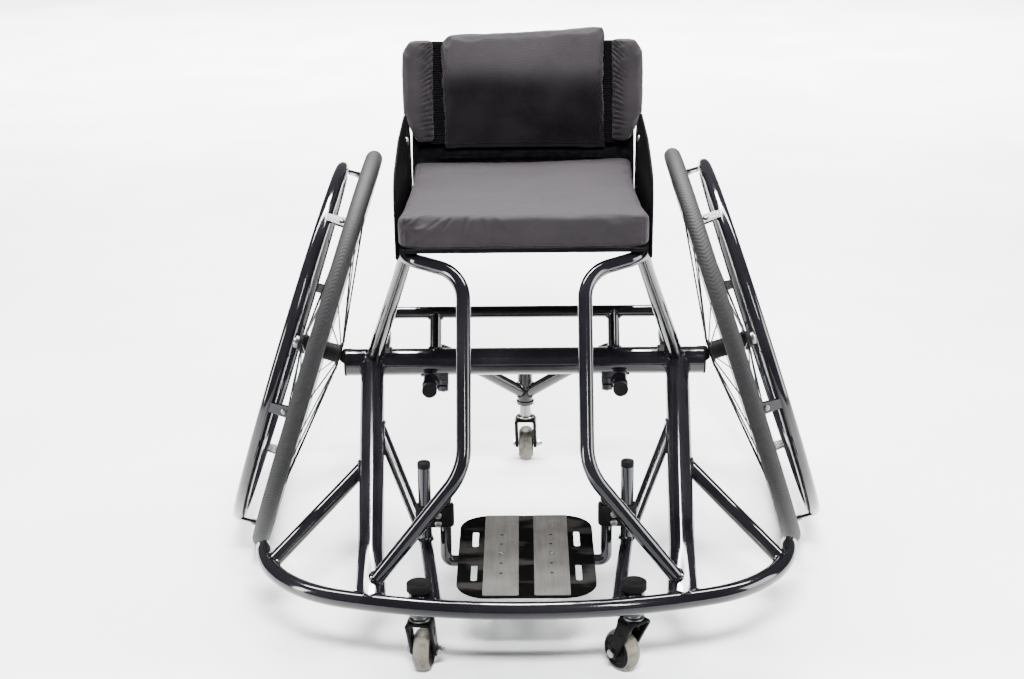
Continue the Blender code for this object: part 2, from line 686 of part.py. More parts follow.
def build_caster(word, location, barrel_bottom, stem_top):
    """A fork that swivels on its stem, and the wheel on its cross bolt."""
    swivel = empty(f"swivel_{word}", location, CHAIR, (0, 0, SWIVELS[word]))
    under = FORK_TOP_Z - FORK_THICKNESS
    crown = plate(f"caster_fork_{word}", rounded_box((-FORK_HALF_WIDTH, -FORK_HALF_LENGTH),
                                                     (FORK_HALF_WIDTH, FORK_HALF_LENGTH), 0.005),
                  under, FORK_TOP_Z, FORK_BLACK, swivel)
    collar_top = barrel_bottom - RUNNING_GAP
    washer_top = FORK_TOP_Z + STEM_WASHER_HEIGHT
    stem = turned(f"stem_{word}", [(under + SEAT_GAP, STEM_WASHER_RADIUS), (washer_top, STEM_WASHER_RADIUS),
                                   (washer_top, STEM_COLLAR_RADIUS), (collar_top, STEM_COLLAR_RADIUS),
                                   (collar_top, STEM_RADIUS), (stem_top, STEM_RADIUS)],
                  STEEL, STEM_SIDES, swivel)
    legs = []
    cuts = []
    leg = fork_leg_outline()
    window = [(y + TRAIL / 2 * 0.55, z + FORK_TOP_Z - FORK_SLOT_TOP - FORK_SLOT_LENGTH / 2)
              for y, z in slot(FORK_SLOT_HALF_WIDTH, FORK_SLOT_LENGTH, 3)]
    for mark, end in SIDES:
        inner, outer = sorted((end * (FORK_HALF_WIDTH - FORK_THICKNESS), end * FORK_HALF_WIDTH))
        legs.append(plate(f"leg_{word}_{mark}", leg, inner, outer, FORK_BLACK, swivel, "X"))
        cuts.append(as_guide(plate(f"window_{word}_{mark}", window, inner - 0.001, outer + 0.001,
                                   FORK_BLACK, swivel, "X")))
    reach = FORK_HALF_WIDTH + BOLT_HEAD_HEIGHT
    axle = empty(f"caster_axle_{word}", (0, TRAIL, CASTER_RADIUS), swivel, (0, math.pi / 2, 0))
    wide = BOLT_RADIUS + SEAT_GAP
    hole = as_guide(turned(f"bolt_room_{word}", [(-reach, wide), (reach, wide)], STEEL, BOLT_SIDES, axle))
    weld(crown, stem, *legs)
    cope(crown, *cuts, hole)
    head = FORK_HALF_WIDTH + SEAT_GAP
    bolt = [(-head - BOLT_HEAD_HEIGHT, BOLT_HEAD_RADIUS * 0.7),
            (-head - BOLT_HEAD_HEIGHT * 0.6, BOLT_HEAD_RADIUS),
            (-head, BOLT_HEAD_RADIUS), (-head, BOLT_RADIUS), (head, BOLT_RADIUS), (head, BOLT_HEAD_RADIUS),
            (head + BOLT_NUT_HEIGHT, BOLT_HEAD_RADIUS), (head + BOLT_NUT_HEIGHT, BOLT_RADIUS),
            (head + BOLT_NUT_HEIGHT + BOLT_END_LENGTH, BOLT_RADIUS)]
    turned(f"caster_bolt_{word}", bolt, STEEL, BOLT_SIDES, axle)
    build_caster_wheel(word, axle)


def fork_leg_outline():
    """The side view of a fork leg: square under the crown, swept back to a round end at the bolt."""
    top = FORK_TOP_Z - SEAT_GAP
    outline = [(FORK_LEG_TOP_HALF + 0.001, top), (-FORK_LEG_TOP_HALF - 0.001, top)]
    for k in range(7):
        angle = math.pi * (1 + k / 6)
        outline.append((TRAIL + FORK_LEG_END_RADIUS * math.cos(angle),
                        CASTER_RADIUS + FORK_LEG_END_RADIUS * math.sin(angle)))
    return outline


def build_caster_wheel(word, axle):
    """The caster's black hub and its urethane tyre, both turned about the cross bolt."""
    bore = BOLT_RADIUS + RUNNING_GAP
    hub = [(-CASTER_HUB_HALF, bore), (-CASTER_HUB_HALF, 0.0075), (-0.007, 0.0085), (-0.007, 0.0135),
           (-0.0085, CASTER_HUB_RADIUS - SEAT_GAP), (0.0085, CASTER_HUB_RADIUS - SEAT_GAP), (0.007, 0.0135),
           (0.007, 0.0085), (CASTER_HUB_HALF, 0.0075), (CASTER_HUB_HALF, bore)]
    turned(f"caster_hub_{word}", hub, SATIN_BLACK, CASTER_HUB_SIDES, axle, bored=True)
    half = CASTER_WIDTH / 2
    shoulder = [(0.82, CASTER_HUB_RADIUS), (1, CASTER_HUB_RADIUS + 0.0035), (0.85, CASTER_RADIUS - 0.0035),
                (0.45, CASTER_RADIUS - 0.0006)]
    tyre = [(-half * share, radius) for share, radius in shoulder] + [(0, CASTER_RADIUS)]
    tyre += [(half * share, radius) for share, radius in reversed(shoulder)]
    turned(f"caster_tyre_{word}", tyre, URETHANE, CASTER_SEGMENTS, axle, bored=True)


def build_anti_tip():
    """The sliding frame behind: two clamped tubes that bend in to the rear caster's barrel."""
    slide = empty("anti_tip_slide", (0, REAR_STEM_Y, 0), CHAIR)
    bore = STEM_RADIUS + RUNNING_GAP
    ring_top = REAR_BARREL_BOTTOM_Z + REAR_BARREL_RING_HEIGHT
    profile = [(REAR_BARREL_BOTTOM_Z, REAR_BARREL_RING_RADIUS), (ring_top, REAR_BARREL_RING_RADIUS),
               (ring_top + 0.001, REAR_BARREL_RADIUS), (REAR_BARREL_TOP_Z, REAR_BARREL_RADIUS)]
    barrel = turned("anti_tip_frame", profile, GLOSS_BLACK, BARREL_SIDES, slide)
    legs = []
    for word, side in SIDES:
        front = Vector((side * ANTI_TIP_X, ANTI_TIP_FRONT_Y - REAR_STEM_Y, ANTI_TIP_Z))
        bend = Vector((side * ANTI_TIP_X, ANTI_TIP_BEND_Y - REAR_STEM_Y, ANTI_TIP_Z))
        join = Vector((0, 0, ANTI_TIP_JOIN_Z))
        path = bent_path([front, bend, join], (ANTI_TIP_BEND,))
        legs.append(tube(f"anti_tip_leg_{word}", path, ANTI_TIP_RADIUS, GLOSS_BLACK, parent=slide))
        cap = Vector((0, ANTI_TIP_CAP_LENGTH, 0))
        legs.append(tube(f"anti_tip_cap_{word}", [front - cap, front + cap / 10], ANTI_TIP_CAP_RADIUS,
                         SATIN_BLACK, parent=slide))
    weld(barrel, *legs)
    bore_cut = turned("anti_tip_bore", [(REAR_BARREL_BOTTOM_Z - 0.01, bore), (REAR_BARREL_TOP_Z + 0.01, bore)],
                      STEEL, BARREL_SIDES, slide)
    cope(barrel, as_guide(bore_cut))


def build_insert(word, side, camber_room):
    """The camber insert in the tube's end, and the quick-release pin that it holds."""
    axis = Vector((side * math.cos(CAMBER), 0, math.sin(CAMBER)))
    root = Vector((side * AXLE_ROOT_X, 0, CAMBER_TUBE_Z))
    end = Vector((side * CAMBER_TUBE_HALF, 0, CAMBER_TUBE_Z))
    out = Vector((side, 0, 0))
    face = end + out * (INSERT_FLANGE_THICKNESS + SEAT_GAP)
    flange = tube(f"axle_insert_{word}", [end + out * SEAT_GAP, face], INSERT_FLANGE_RADIUS, SATIN_BLACK,
                  sides=CAMBER_TUBE_SIDES)
    spigot = tube(f"insert_spigot_{word}", [end - out * INSERT_SPIGOT_LENGTH, end + out * 2 * SEAT_GAP],
                  INSERT_SPIGOT_RADIUS, SATIN_BLACK, sides=CAMBER_TUBE_SIDES)
    nose_end = WHEEL_OFFSET - HUB_INNER - RUNNING_GAP
    nose_halves = [(INSERT_NOSE_RADIUS, INSERT_NOSE_RADIUS), (PIN_HEAD_RADIUS, PIN_HEAD_RADIUS)]
    nose = tube(f"insert_nose_{word}", [root + axis * 0.026, root + axis * nose_end], nose_halves, SATIN_BLACK,
                sides=12)
    hole = tube(f"insert_bore_{word}", [root, root + axis * WHEEL_OFFSET], PIN_RADIUS + SEAT_GAP, STEEL,
                sides=PIN_SIDES)
    cope(nose, camber_room)
    weld(flange, spigot, nose)
    cope(flange, as_guide(hole))


def build_wheel(word, side):
    """One main wheel about its leaning axle, with the pin and the button in the pin's end."""
    root = Vector((side * AXLE_ROOT_X, 0, CAMBER_TUBE_Z))
    axis = Vector((side * math.cos(CAMBER), 0, math.sin(CAMBER)))
    lean = (0, side * (math.pi / 2 - CAMBER), 0)
    hub_frame = empty(f"wheel_axis_{word}", root + axis * WHEEL_OFFSET, CHAIR, lean)
    turned(f"tyre_{word}", tyre_section(), RUBBER, WHEEL_SEGMENTS, hub_frame, bored=True)
    build_rim(word, hub_frame)
    build_handrim(word, hub_frame)
    build_hub(word, hub_frame)
    build_pin(word, hub_frame)


def tyre_section():
    """The tyre's section. One corner points straight down where the tyre meets the floor."""
    middle = WHEEL_RADIUS - TYRE_RADIUS
    section = []
    for k in range(TYRE_SIDES):
        angle = 2 * math.pi * k / TYRE_SIDES + CAMBER
        section.append((-TYRE_RADIUS * math.sin(angle), middle + TYRE_RADIUS * math.cos(angle)))
    return section


def rim_radii():
    """The rim's radii: its nose toward the hub, its bed under the tyre, and its flanges."""
    bed = min(radius for height, radius in tyre_section()) - SEAT_GAP
    return bed - RIM_DEPTH, bed, bed + RIM_FLANGE


def rim_side(radius):
    """How far the rim's slanting side stands from its middle plane at a radius."""
    nose, bed, flange = rim_radii()
    share = (radius - nose) / (flange - nose)
    return RIM_NOSE / 2 + (RIM_WIDTH - RIM_NOSE) / 2 * share


def build_rim(word, frame):
    """The double-walled rim that the tyre sits in."""
    nose, bed, flange = rim_radii()
    half = RIM_WIDTH / 2
    profile = [(-half, flange), (-half + RIM_WALL, bed), (half - RIM_WALL, bed), (half, flange),
               (RIM_NOSE / 2, nose), (-RIM_NOSE / 2, nose)]
    turned(f"rim_{word}", profile, GLOSS_BLACK, WHEEL_SEGMENTS, frame, bored=True)


def build_handrim(word, frame):
    """The push ring outboard of the rim, with the tabs that hold it."""
    section = []
    for k in range(HANDRIM_SIDES):
        angle = 2 * math.pi * (k + 0.5) / HANDRIM_SIDES
        height = HANDRIM_OFFSET - HANDRIM_TUBE * math.sin(angle)
        section.append((height, HANDRIM_RADIUS + HANDRIM_TUBE * math.cos(angle)))
    ring = turned(f"handrim_{word}", section, GLOSS_BLACK, WHEEL_SEGMENTS, frame, bored=True)
    bm = bmesh.new()
    radius = HANDRIM_RADIUS + TAB_RISE + TAB_THICKNESS / 2
    facet = radius + TAB_THICKNESS / 2 + TAB_WIDTH / 2 * math.tan(math.pi / WHEEL_SEGMENTS)
    foot = rim_side(facet) + SEAT_GAP
    for k in range(TAB_COUNT):
        turn = Matrix.Rotation(2 * math.pi * (k + 0.5) / TAB_COUNT, 4, "Z")
        middle = Vector((radius, 0, (foot + HANDRIM_OFFSET) / 2))
        size = Matrix.Diagonal((TAB_THICKNESS, TAB_WIDTH, HANDRIM_OFFSET - foot, 1))
        bmesh.ops.create_cube(bm, size=1, matrix=turn @ Matrix.Translation(middle) @ size)
    weld(ring, place(f"handrim_tabs_{word}", bm, GLOSS_BLACK, parent=frame))


def build_hub(word, frame):
    """The hub with its two flanges, and the straight spokes out to the rim."""
    bore = PIN_RADIUS + RUNNING_GAP
    thick = HUB_FLANGE_THICKNESS
    profile = [(-HUB_INNER, bore), (-HUB_INNER, HUB_FLANGE_RADIUS), (-HUB_INNER + thick, HUB_FLANGE_RADIUS),
               (-HUB_INNER + 2 * thick, HUB_BODY_RADIUS), (HUB_OUTER_FLANGE - thick, HUB_BODY_RADIUS),
               (HUB_OUTER_FLANGE, HUB_FLANGE_RADIUS), (HUB_OUTER_FLANGE + thick, HUB_FLANGE_RADIUS),
               (HUB_OUTER_FLANGE + thick + 0.001, HUB_END_RADIUS + 0.002), (HUB_OUTER, HUB_END_RADIUS),
               (HUB_OUTER, bore)]
    hub = turned(f"hub_{word}", profile, SATIN_BLACK, HUB_SIDES, frame, bored=True)
    bm = bmesh.new()
    head = HUB_FLANGE_RADIUS - SPOKE_HEAD_INSET
    nipple = rim_radii()[0] - SPOKE_RADIUS
    for flange, height in ((0, -HUB_INNER + thick / 2), (1, HUB_OUTER_FLANGE + thick / 2)):
        foot_height = RIM_NOSE / 4 * (2 * flange - 1)
        for k in range(SPOKES_PER_FLANGE):
            turn = Matrix.Rotation(2 * math.pi * (k + flange / 2) / SPOKES_PER_FLANGE, 3, "Z")
            start = turn @ Vector((head, 0, height))
            end = turn @ Vector((nipple, 0, foot_height))
            add_rod(bm, start, end, SPOKE_RADIUS, SPOKE_SIDES)
    weld(hub, place(f"spokes_{word}", bm, SATIN_BLACK, parent=frame))


def add_rod(bm, start, end, radius, sides):
    """One straight rod in a mesh that holds several."""
    along = (end - start).normalized()
    aside = along.cross(Vector((0, 0, 1))).normalized()
    up = along.cross(aside)
    rings = []
    for point in (start, end):
        ring = []
        for j in range(sides):
            angle = 2 * math.pi * j / sides
            ring.append(bm.verts.new(point + (aside * math.cos(angle) + up * math.sin(angle)) * radius))
        rings.append(ring)
    skin(bm, rings)


def build_pin(word, frame):
    """The quick-release pin through hub and insert, and the release button in its outer end."""
    inner = PIN_INNER - WHEEL_OFFSET
    head = HUB_OUTER + RUNNING_GAP
    top = head + PIN_HEAD_LENGTH
    socket = BUTTON_RADIUS + RUNNING_GAP
    floor = top + BUTTON_STAND - BUTTON_LENGTH - BUTTON_TRAVEL - RUNNING_GAP
    profile = [(inner, PIN_RADIUS * 0.8), (inner + 0.003, PIN_RADIUS), (head, PIN_RADIUS),
               (head, PIN_HEAD_RADIUS), (top - 0.001, PIN_HEAD_RADIUS), (top, PIN_HEAD_RADIUS - 0.001),
               (top, socket), (floor, socket)]
    turned(f"axle_pin_{word}", profile, STEEL, PIN_SIDES, frame)
    stand = top + BUTTON_STAND
    button = [(stand - BUTTON_LENGTH, BUTTON_RADIUS), (stand - 0.001, BUTTON_RADIUS),
              (stand, BUTTON_RADIUS - 0.001)]
    turned(f"release_button_{word}", button, ALLOY, PIN_SIDES, frame)


def build_footrest():
    """The footrest: two clamps on the posts, the bent hanger, the plate and its grip strips."""
    slide = empty("footrest_slide", (0, FOOTREST_Y, 0), CHAIR)
    bar_z = PLATE_TOP_Z - PLATE_THICKNESS - SEAT_GAP - HANGER_RADIUS
    corners = [Vector((-HANGER_X, 0, HANGER_TOP_Z)), Vector((-HANGER_X, 0, bar_z)),
               Vector((HANGER_X, 0, bar_z)), Vector((HANGER_X, 0, HANGER_TOP_Z))]
    tube("footrest_hanger", bent_path(corners, (HANGER_ELBOW, HANGER_ELBOW)), HANGER_RADIUS, GLOSS_BLACK,
         across=Vector((0, 1, 0)), parent=slide)
    for word, side in SIDES:
        build_foot_clamp(word, side, slide)
        low, high = sorted((side * STRIP_INNER_X, side * STRIP_OUTER_X))
        front = PLATE_FRONT_Y - FOOTREST_Y + STRIP_INSET
        back = PLATE_BACK_Y - FOOTREST_Y - STRIP_INSET
        under = PLATE_TOP_Z + SEAT_GAP
        outline = [(low, front), (high, front), (high, back), (low, back)]
        strip = plate(f"grip_strip_{word}", outline, under, under + STRIP_THICKNESS, GRIP, slide)
        cope(strip, *plate_holes(f"strip_{word}", side, slide))
    build_footplate(slide)


def build_foot_clamp(word, side, slide):
    """The block that grips the post and the hanger side by side."""
    post_x = side * RAIL_BEND.x
    hanger_x = side * HANGER_X
    half = RAIL_RADIUS + FOOT_CLAMP_WALL
    low, high = sorted((post_x + side * half, hanger_x - side * (HANGER_RADIUS + FOOT_CLAMP_WALL)))
    top = FOOT_CLAMP_BOTTOM_Z + FOOT_CLAMP_HEIGHT
    block = plate(f"footrest_clamp_{word}", rounded_box((low, -half), (high, half), 0.009), FOOT_CLAMP_BOTTOM_Z,
                  top, SATIN_BLACK, slide)
    bores = []
    for label, x, radius in (("post", post_x, RAIL_RADIUS), ("hanger", hanger_x, HANGER_RADIUS)):
        path = [Vector((x, 0, FOOT_CLAMP_BOTTOM_Z - half)), Vector((x, 0, top + half))]
        bores.append(as_guide(tube(f"clamp_{label}_bore_{word}", path, radius + RUNNING_GAP, STEEL,
                                   across=Vector((0, 1, 0)), parent=slide)))
    cope(block, *bores)


def plate_holes(label, side, slide):
    """Cutters for the row of small holes on one side of the plate."""
    low = PLATE_TOP_Z - 2 * PLATE_THICKNESS
    high = PLATE_TOP_Z + PLATE_THICKNESS
    cuts = []
    for k in PLATE_HOLES:
        middle = (side * PLATE_HOLE_X, PLATE_MIDDLE_Y - FOOTREST_Y + k * PLATE_HOLE_PITCH, 0)
        ends = [(low, PLATE_HOLE_RADIUS), (high, PLATE_HOLE_RADIUS)]
        cuts.append(as_guide(turned(f"hole_{label}_{k + 2}", ends, STEEL, PLATE_HOLE_SIDES, slide, middle)))
    return cuts


def build_footplate(slide):
    """The plate with its four slots and two rows of holes."""
    outline = rounded_box((-PLATE_HALF_WIDTH, PLATE_FRONT_Y - FOOTREST_Y),
                          (PLATE_HALF_WIDTH, PLATE_BACK_Y - FOOTREST_Y), PLATE_CORNER, BEND_STEP)
    made = plate("footplate", outline, PLATE_TOP_Z - PLATE_THICKNESS, PLATE_TOP_Z, SATIN_BLACK, slide)
    low = PLATE_TOP_Z - 2 * PLATE_THICKNESS
    high = PLATE_TOP_Z + PLATE_THICKNESS
    cuts = []
    for word, side in SIDES:
        cuts.extend(plate_holes(f"plate_{word}", side, slide))
        for k, y in enumerate(PLATE_SLOT_YS):
            shape = slot(PLATE_SLOT_HALF_WIDTH, PLATE_SLOT_LENGTH, 3)
            cuts.append(plate(f"plate_slot_{word}_{k}", shape, low, high, STEEL, slide, "Z",
                              (side * PLATE_SLOT_X, y - FOOTREST_Y, 0)))
    cope(made, *[as_guide(cut) for cut in cuts])


def build_seat():
    """The seat sling over the side tubes and the cushion on it."""
    seat = empty("seat_plane", (0, SEAT_FRONT_Y, SEAT_TUBE_Z), CHAIR, (-SEAT_TILT, 0, 0))
    under = SIDE_TUBE_RADIUS + SEAT_GAP
    back = CANE_REACH - SIDE_TUBE_RADIUS - SLING_BACK_GAP
    plate("seat_sling", [(-SLING_HALF_WIDTH, -SLING_FRONT), (SLING_HALF_WIDTH, -SLING_FRONT),
                         (SLING_HALF_WIDTH, back), (-SLING_HALF_WIDTH, back)],
          under, under + SLING_THICKNESS, WEBBING, seat)
    bottom = under + SLING_THICKNESS + SEAT_GAP
    plan = pad_plan(CUSHION_HALF_WIDTH, CUSHION_DEPTH / 2, CUSHION_CORNER, CUSHION_DRAW, 7)
    cushion("seat_cushion", plan, (CUSHION_HALF_WIDTH, CUSHION_DEPTH / 2, CUSHION_HEIGHT), CUSHION_EDGE,
            CUSHION_CROWN, CUSHION_DRAW, seat, (0, CUSHION_DEPTH / 2 - CUSHION_FRONT, bottom), (0, 0, 0))


def cushion(name, plan, size, edge, crown, draw, parent, location, rotation):
    """A padded block on its own XY plane: a rounded plan, drawn-in sides and a crowned top."""
    half_x, half_y, height = size
    levels = [(0.75, 0, 0)]
    for k in range(PAD_EDGE_STEPS + 1):
        angle = math.pi / 2 * k / PAD_EDGE_STEPS
        levels.append((1, edge * (1 - math.sin(angle)), edge * (1 - math.cos(angle))))
    for k in range(PAD_EDGE_STEPS + 1):
        angle = math.pi / 2 * (1 - k / PAD_EDGE_STEPS)
        levels.append((1, edge * (1 - math.sin(angle)), height - edge * (1 - math.cos(angle))))
    levels += [(share, 0, height) for share in PAD_TOP_RINGS]
    bm = bmesh.new()
    rings = []
    for share, inset, z in levels:
        ring = []
        for x, y in plan:
            scale_x = share * (1 - inset / half_x)
            scale_y = share * (1 - inset / half_y)
            lift = crown * (1 - share**2) if z > height / 2 else 0
            if 0 < z < height and share == 1:
                pinch = draw / 2 * (1 - (2 * z / height - 1) ** 2)
                scale_x *= 1 - pinch / half_x
                scale_y *= 1 - pinch / half_y
            ring.append(bm.verts.new((x * scale_x, y * scale_y, z + lift)))
        rings.append(ring)
    skin(bm, rings)
    bmesh.ops.triangulate(bm, faces=[face for face in bm.faces if len(face.verts) > 4])
    made = place(name, bm, NYLON, location, parent, math.radians(80))
    made.rotation_euler = rotation
    return made


def pad_plan(half_x, half_y, corner, draw, run):
    """A rounded rectangle whose sides pull in between its corners."""
    plan = []
    for quarter in range(4):
        turn = math.pi / 2 * quarter
        corner_x = (half_x - corner) * (1 if quarter in (0, 3) else -1)
        corner_y = (half_y - corner) * (1 if quarter in (0, 1) else -1)
        for k in range(4):
            angle = turn + math.pi / 6 * k
            plan.append((corner_x + corner * math.cos(angle), corner_y + corner * math.sin(angle)))
        along_x = quarter in (0, 2)
        length = 2 * ((half_x if along_x else half_y) - corner)
        for k in range(1, run):
            share = k / run
            pull = draw * (1 - (2 * share - 1) ** 2)
            angle = turn + math.pi / 2
            x = corner_x + (corner - pull) * math.cos(angle) - length * share * math.sin(angle)
            y = corner_y + (corner - pull) * math.sin(angle) + length * share * math.cos(angle)
            plan.append((x, y))
    return plan


def build_back(rooms):
    """The back canes with their bar, the sling across them, the back pad and the side bolsters."""
    back = empty("back_plane", (0, CANE_FOOT.y, CANE_FOOT.z), CHAIR, (-BACK_LEAN, 0, 0))
    bar_ends = [Vector((-SEAT_TUBE_X, 0, BACK_BAR_HEIGHT)), Vector((SEAT_TUBE_X, 0, BACK_BAR_HEIGHT))]
    frame = tube("back_frame", bar_ends, BACK_BAR_RADIUS, GLOSS_BLACK, parent=back)
    canes = []
    for word, side in SIDES:
        path = [Vector((side * SEAT_TUBE_X, 0, 0)), Vector((side * SEAT_TUBE_X, 0, CANE_LENGTH))]
        canes.append(tube(f"back_cane_{word}", path, SIDE_TUBE_RADIUS - SEAT_GAP, GLOSS_BLACK,
                          across=Vector((0, 1, 0)), parent=back))
    weld(frame, *canes)
    cope(frame, rooms["left"][1], rooms["right"][1])
    face = -(SIDE_TUBE_RADIUS + SEAT_GAP)
    width = SEAT_TUBE_X + SIDE_TUBE_RADIUS - 0.001
    plate("back_sling", [(-width, BACK_SLING_BOTTOM), (width, BACK_SLING_BOTTOM), (width, BACK_SLING_TOP),
                         (-width, BACK_SLING_TOP)], face - BACK_SLING_THICKNESS, face, WEBBING, back, "Y")
    pad_y = face - BACK_SLING_THICKNESS - SEAT_GAP
    upright = (math.pi / 2, 0, 0)
    half = (BACK_PAD_TOP - BACK_PAD_BOTTOM) / 2
    plan = pad_plan(BACK_PAD_HALF_WIDTH, half, BACK_PAD_CORNER, BACK_PAD_DRAW, 5)
    cushion("back_pad", plan, (BACK_PAD_HALF_WIDTH, half, BACK_PAD_THICKNESS), BACK_PAD_EDGE, BACK_PAD_CROWN,
            BACK_PAD_DRAW, back, (0, pad_y, BACK_PAD_BOTTOM + half), upright)
    half_x = (SIDE_PAD_OUTER_X - SIDE_PAD_INNER_X) / 2
    half_y = (SIDE_PAD_TOP - SIDE_PAD_BOTTOM) / 2
    step = SIDE_PAD_STEP - SIDE_PAD_BOTTOM - half_y
    low_x = SIDE_PAD_LOW_X - SIDE_PAD_INNER_X - half_x
    for word, side in SIDES:
        corners = ((-half_x, -half_y), (low_x, -half_y), (half_x, step), (half_x, half_y - SIDE_PAD_CUT),
                   (half_x - SIDE_PAD_CUT / 2, half_y), (-half_x, half_y))
        plan = rounded([(side * x, y) for x, y in corners], SIDE_PAD_BENDS, SMALL_STEP)
        middle = (side * (SIDE_PAD_INNER_X + half_x), pad_y, SIDE_PAD_BOTTOM + half_y)
        cushion(f"side_pad_{word}", plan, (half_x, half_y, SIDE_PAD_THICKNESS), SIDE_PAD_EDGE, SIDE_PAD_CROWN,
                SIDE_PAD_DRAW, back, middle, upright)


def build_guard(word, side):
    """The side guard between the seat and the wheel."""
    inner = SEAT_TUBE_X + SIDE_TUBE_RADIUS + SEAT_GAP
    low, high = sorted((side * inner, side * (inner + GUARD_THICKNESS)))
    corners = [*GUARD_FRONT, *((CANE_FOOT.y + y, z) for y, z in GUARD_BEHIND_CANE)]
    plate(f"side_guard_{word}", rounded(corners, GUARD_BENDS), low, high, GUARD_BLACK, CHAIR, "X")


def build_chair():
    """Every piece, each after the ones that it is fitted to."""
    bumper_room = build_bumper()[1]
    rooms = {"bumper": bumper_room, "camber": build_camber_tube()}
    for word, side in SIDES:
        main_room = build_main_tube(word, side, rooms)
        rooms[word] = (main_room, build_side_tube(word, side, main_room))
    build_rear_struts(rooms)
    for word, side in SIDES:
        build_front_strut(word, side, rooms)
        build_wing_brace(word, side, rooms)
        stem_y, barrel_room = build_front_barrel(word, side)
        build_lower_rail(word, side, rooms, barrel_room)
        build_caster(word, (side * CASTER_X, stem_y, 0), BARREL_BOTTOM_Z, STEM_TOP_Z)
        build_insert(word, side, rooms["camber"])
        build_wheel(word, side)
        build_guard(word, side)
    build_anti_tip()
    build_caster("rear", (0, REAR_STEM_Y, 0), REAR_BARREL_BOTTOM_Z, REAR_STEM_TOP_Z)
    build_footrest()
    build_seat()
    build_back(rooms)


build_chair()
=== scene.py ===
# %% [markdown]
# # A basketball wheelchair, dressed for its picture
#
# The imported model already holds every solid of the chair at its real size, but its tubes have ten sides and its
# cushions are plain blocks. This lesson puts the finished surface over that frame: round tubes with weld beads,
# spoked wheels, sewn cushions and small fasteners. Each piece takes its place from the same sizes as the solids,
# so nothing has to be fitted by eye.

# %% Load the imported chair
import math

import bmesh
import bpy
from mathutils import Matrix, Vector, noise
from mathutils.bvhtree import BVHTree


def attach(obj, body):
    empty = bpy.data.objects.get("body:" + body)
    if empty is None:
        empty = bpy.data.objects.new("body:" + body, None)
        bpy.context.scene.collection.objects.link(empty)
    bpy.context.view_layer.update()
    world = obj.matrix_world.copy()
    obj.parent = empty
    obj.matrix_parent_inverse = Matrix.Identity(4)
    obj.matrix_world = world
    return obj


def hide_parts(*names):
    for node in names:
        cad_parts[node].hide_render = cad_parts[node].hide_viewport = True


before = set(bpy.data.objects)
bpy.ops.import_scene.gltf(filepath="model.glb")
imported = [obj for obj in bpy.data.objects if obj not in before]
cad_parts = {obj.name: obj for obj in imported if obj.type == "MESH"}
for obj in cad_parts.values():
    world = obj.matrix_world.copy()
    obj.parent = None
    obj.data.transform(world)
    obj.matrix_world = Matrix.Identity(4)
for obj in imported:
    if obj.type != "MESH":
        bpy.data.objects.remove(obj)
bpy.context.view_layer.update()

SIDES = (("left", 1), ("right", -1))
AXLE_Y = 0.1035

# %% [markdown]
# ## Camera
#
# The photograph was taken from standing height in front of the chair, a little above the cushion, looking down by
# about 19 degrees. The same place and the same focal length give the same perspective, so a tube in the render
# lies on the tube in the picture. The small yaw and roll are those of a hand-held camera.

# %% The photograph's camera
FOCAL_PIXELS = 1788.5
PICTURE_WIDTH = 1024
SENSOR = 36.0
CAMERA_PLACE = (0.0014, -2.508 + AXLE_Y, 1.158)
PITCH, YAW, ROLL = (math.radians(angle) for angle in (18.87, -0.46, -0.62))
lens = bpy.data.cameras.new("photo_camera")
lens.sensor_fit = "HORIZONTAL"
lens.sensor_width = SENSOR
lens.lens = FOCAL_PIXELS * SENSOR / PICTURE_WIDTH
camera = bpy.data.objects.new("photo_camera", lens)
bpy.context.scene.collection.objects.link(camera)
ahead = Vector((math.sin(YAW) * math.cos(PITCH), math.cos(YAW) * math.cos(PITCH), -math.sin(PITCH)))
flat = ahead.cross(Vector((0, 0, 1))).normalized()
above = flat.cross(ahead)
aside = flat * math.cos(ROLL) + above * math.sin(ROLL)
upward = above * math.cos(ROLL) - flat * math.sin(ROLL)
turn = Matrix((aside, upward, -ahead)).transposed().to_4x4()
camera.matrix_world = Matrix.Translation(CAMERA_PLACE) @ turn
bpy.context.scene.camera = camera
print("lens", round(lens.lens, 2), "mm")

# %% [markdown]
# ## Floor and light
#
# Gloss black paint shows almost nothing of its own colour: what gives a black tube its shape is what it reflects.
# The picture was taken in a white room from above, so a long pale floor fills the whole view. There is no wall, which
# would hide the chair from behind. A few large soft lamps stand around, some for the tubes' shine alone, and one
# narrow lamp above the camera draws thin white lines along the tubes.

# %% A long pale floor
def in_scene(name, data):
    """A new object, linked to the scene."""
    made = bpy.data.objects.new(name, data)
    bpy.context.scene.collection.objects.link(made)
    return made


STAGE_HALF, STAGE_FRONT, STAGE_BACK = 4.5, -1.3, 6.8


def build_stage():
    bm = bmesh.new()
    half, front, back = STAGE_HALF, STAGE_FRONT, STAGE_BACK
    corners = ((-half, front), (half, front), (half, back), (-half, back))
    bm.faces.new([bm.verts.new((x, y, 0)) for x, y in corners])
    mesh = bpy.data.meshes.new("studio_floor")
    bm.to_mesh(mesh)
    bm.free()
    made = in_scene("studio_floor", mesh)
    return made


studio_floor = build_stage()


# %% The lamps and the bright room
def soft_lamp(name, place, target, width, height, power, gives="light and shine"):
    lamp = bpy.data.lights.new(name, "AREA")
    lamp.shape = "RECTANGLE"
    lamp.size = width
    lamp.size_y = height
    lamp.energy = power
    made = in_scene(name, lamp)
    made.location = place
    made.rotation_euler = (Vector(target) - Vector(place)).to_track_quat("-Z", "Y").to_euler()
    made.visible_camera = False
    made.visible_glossy, made.visible_diffuse = "shine" in gives, "light" in gives
    return made


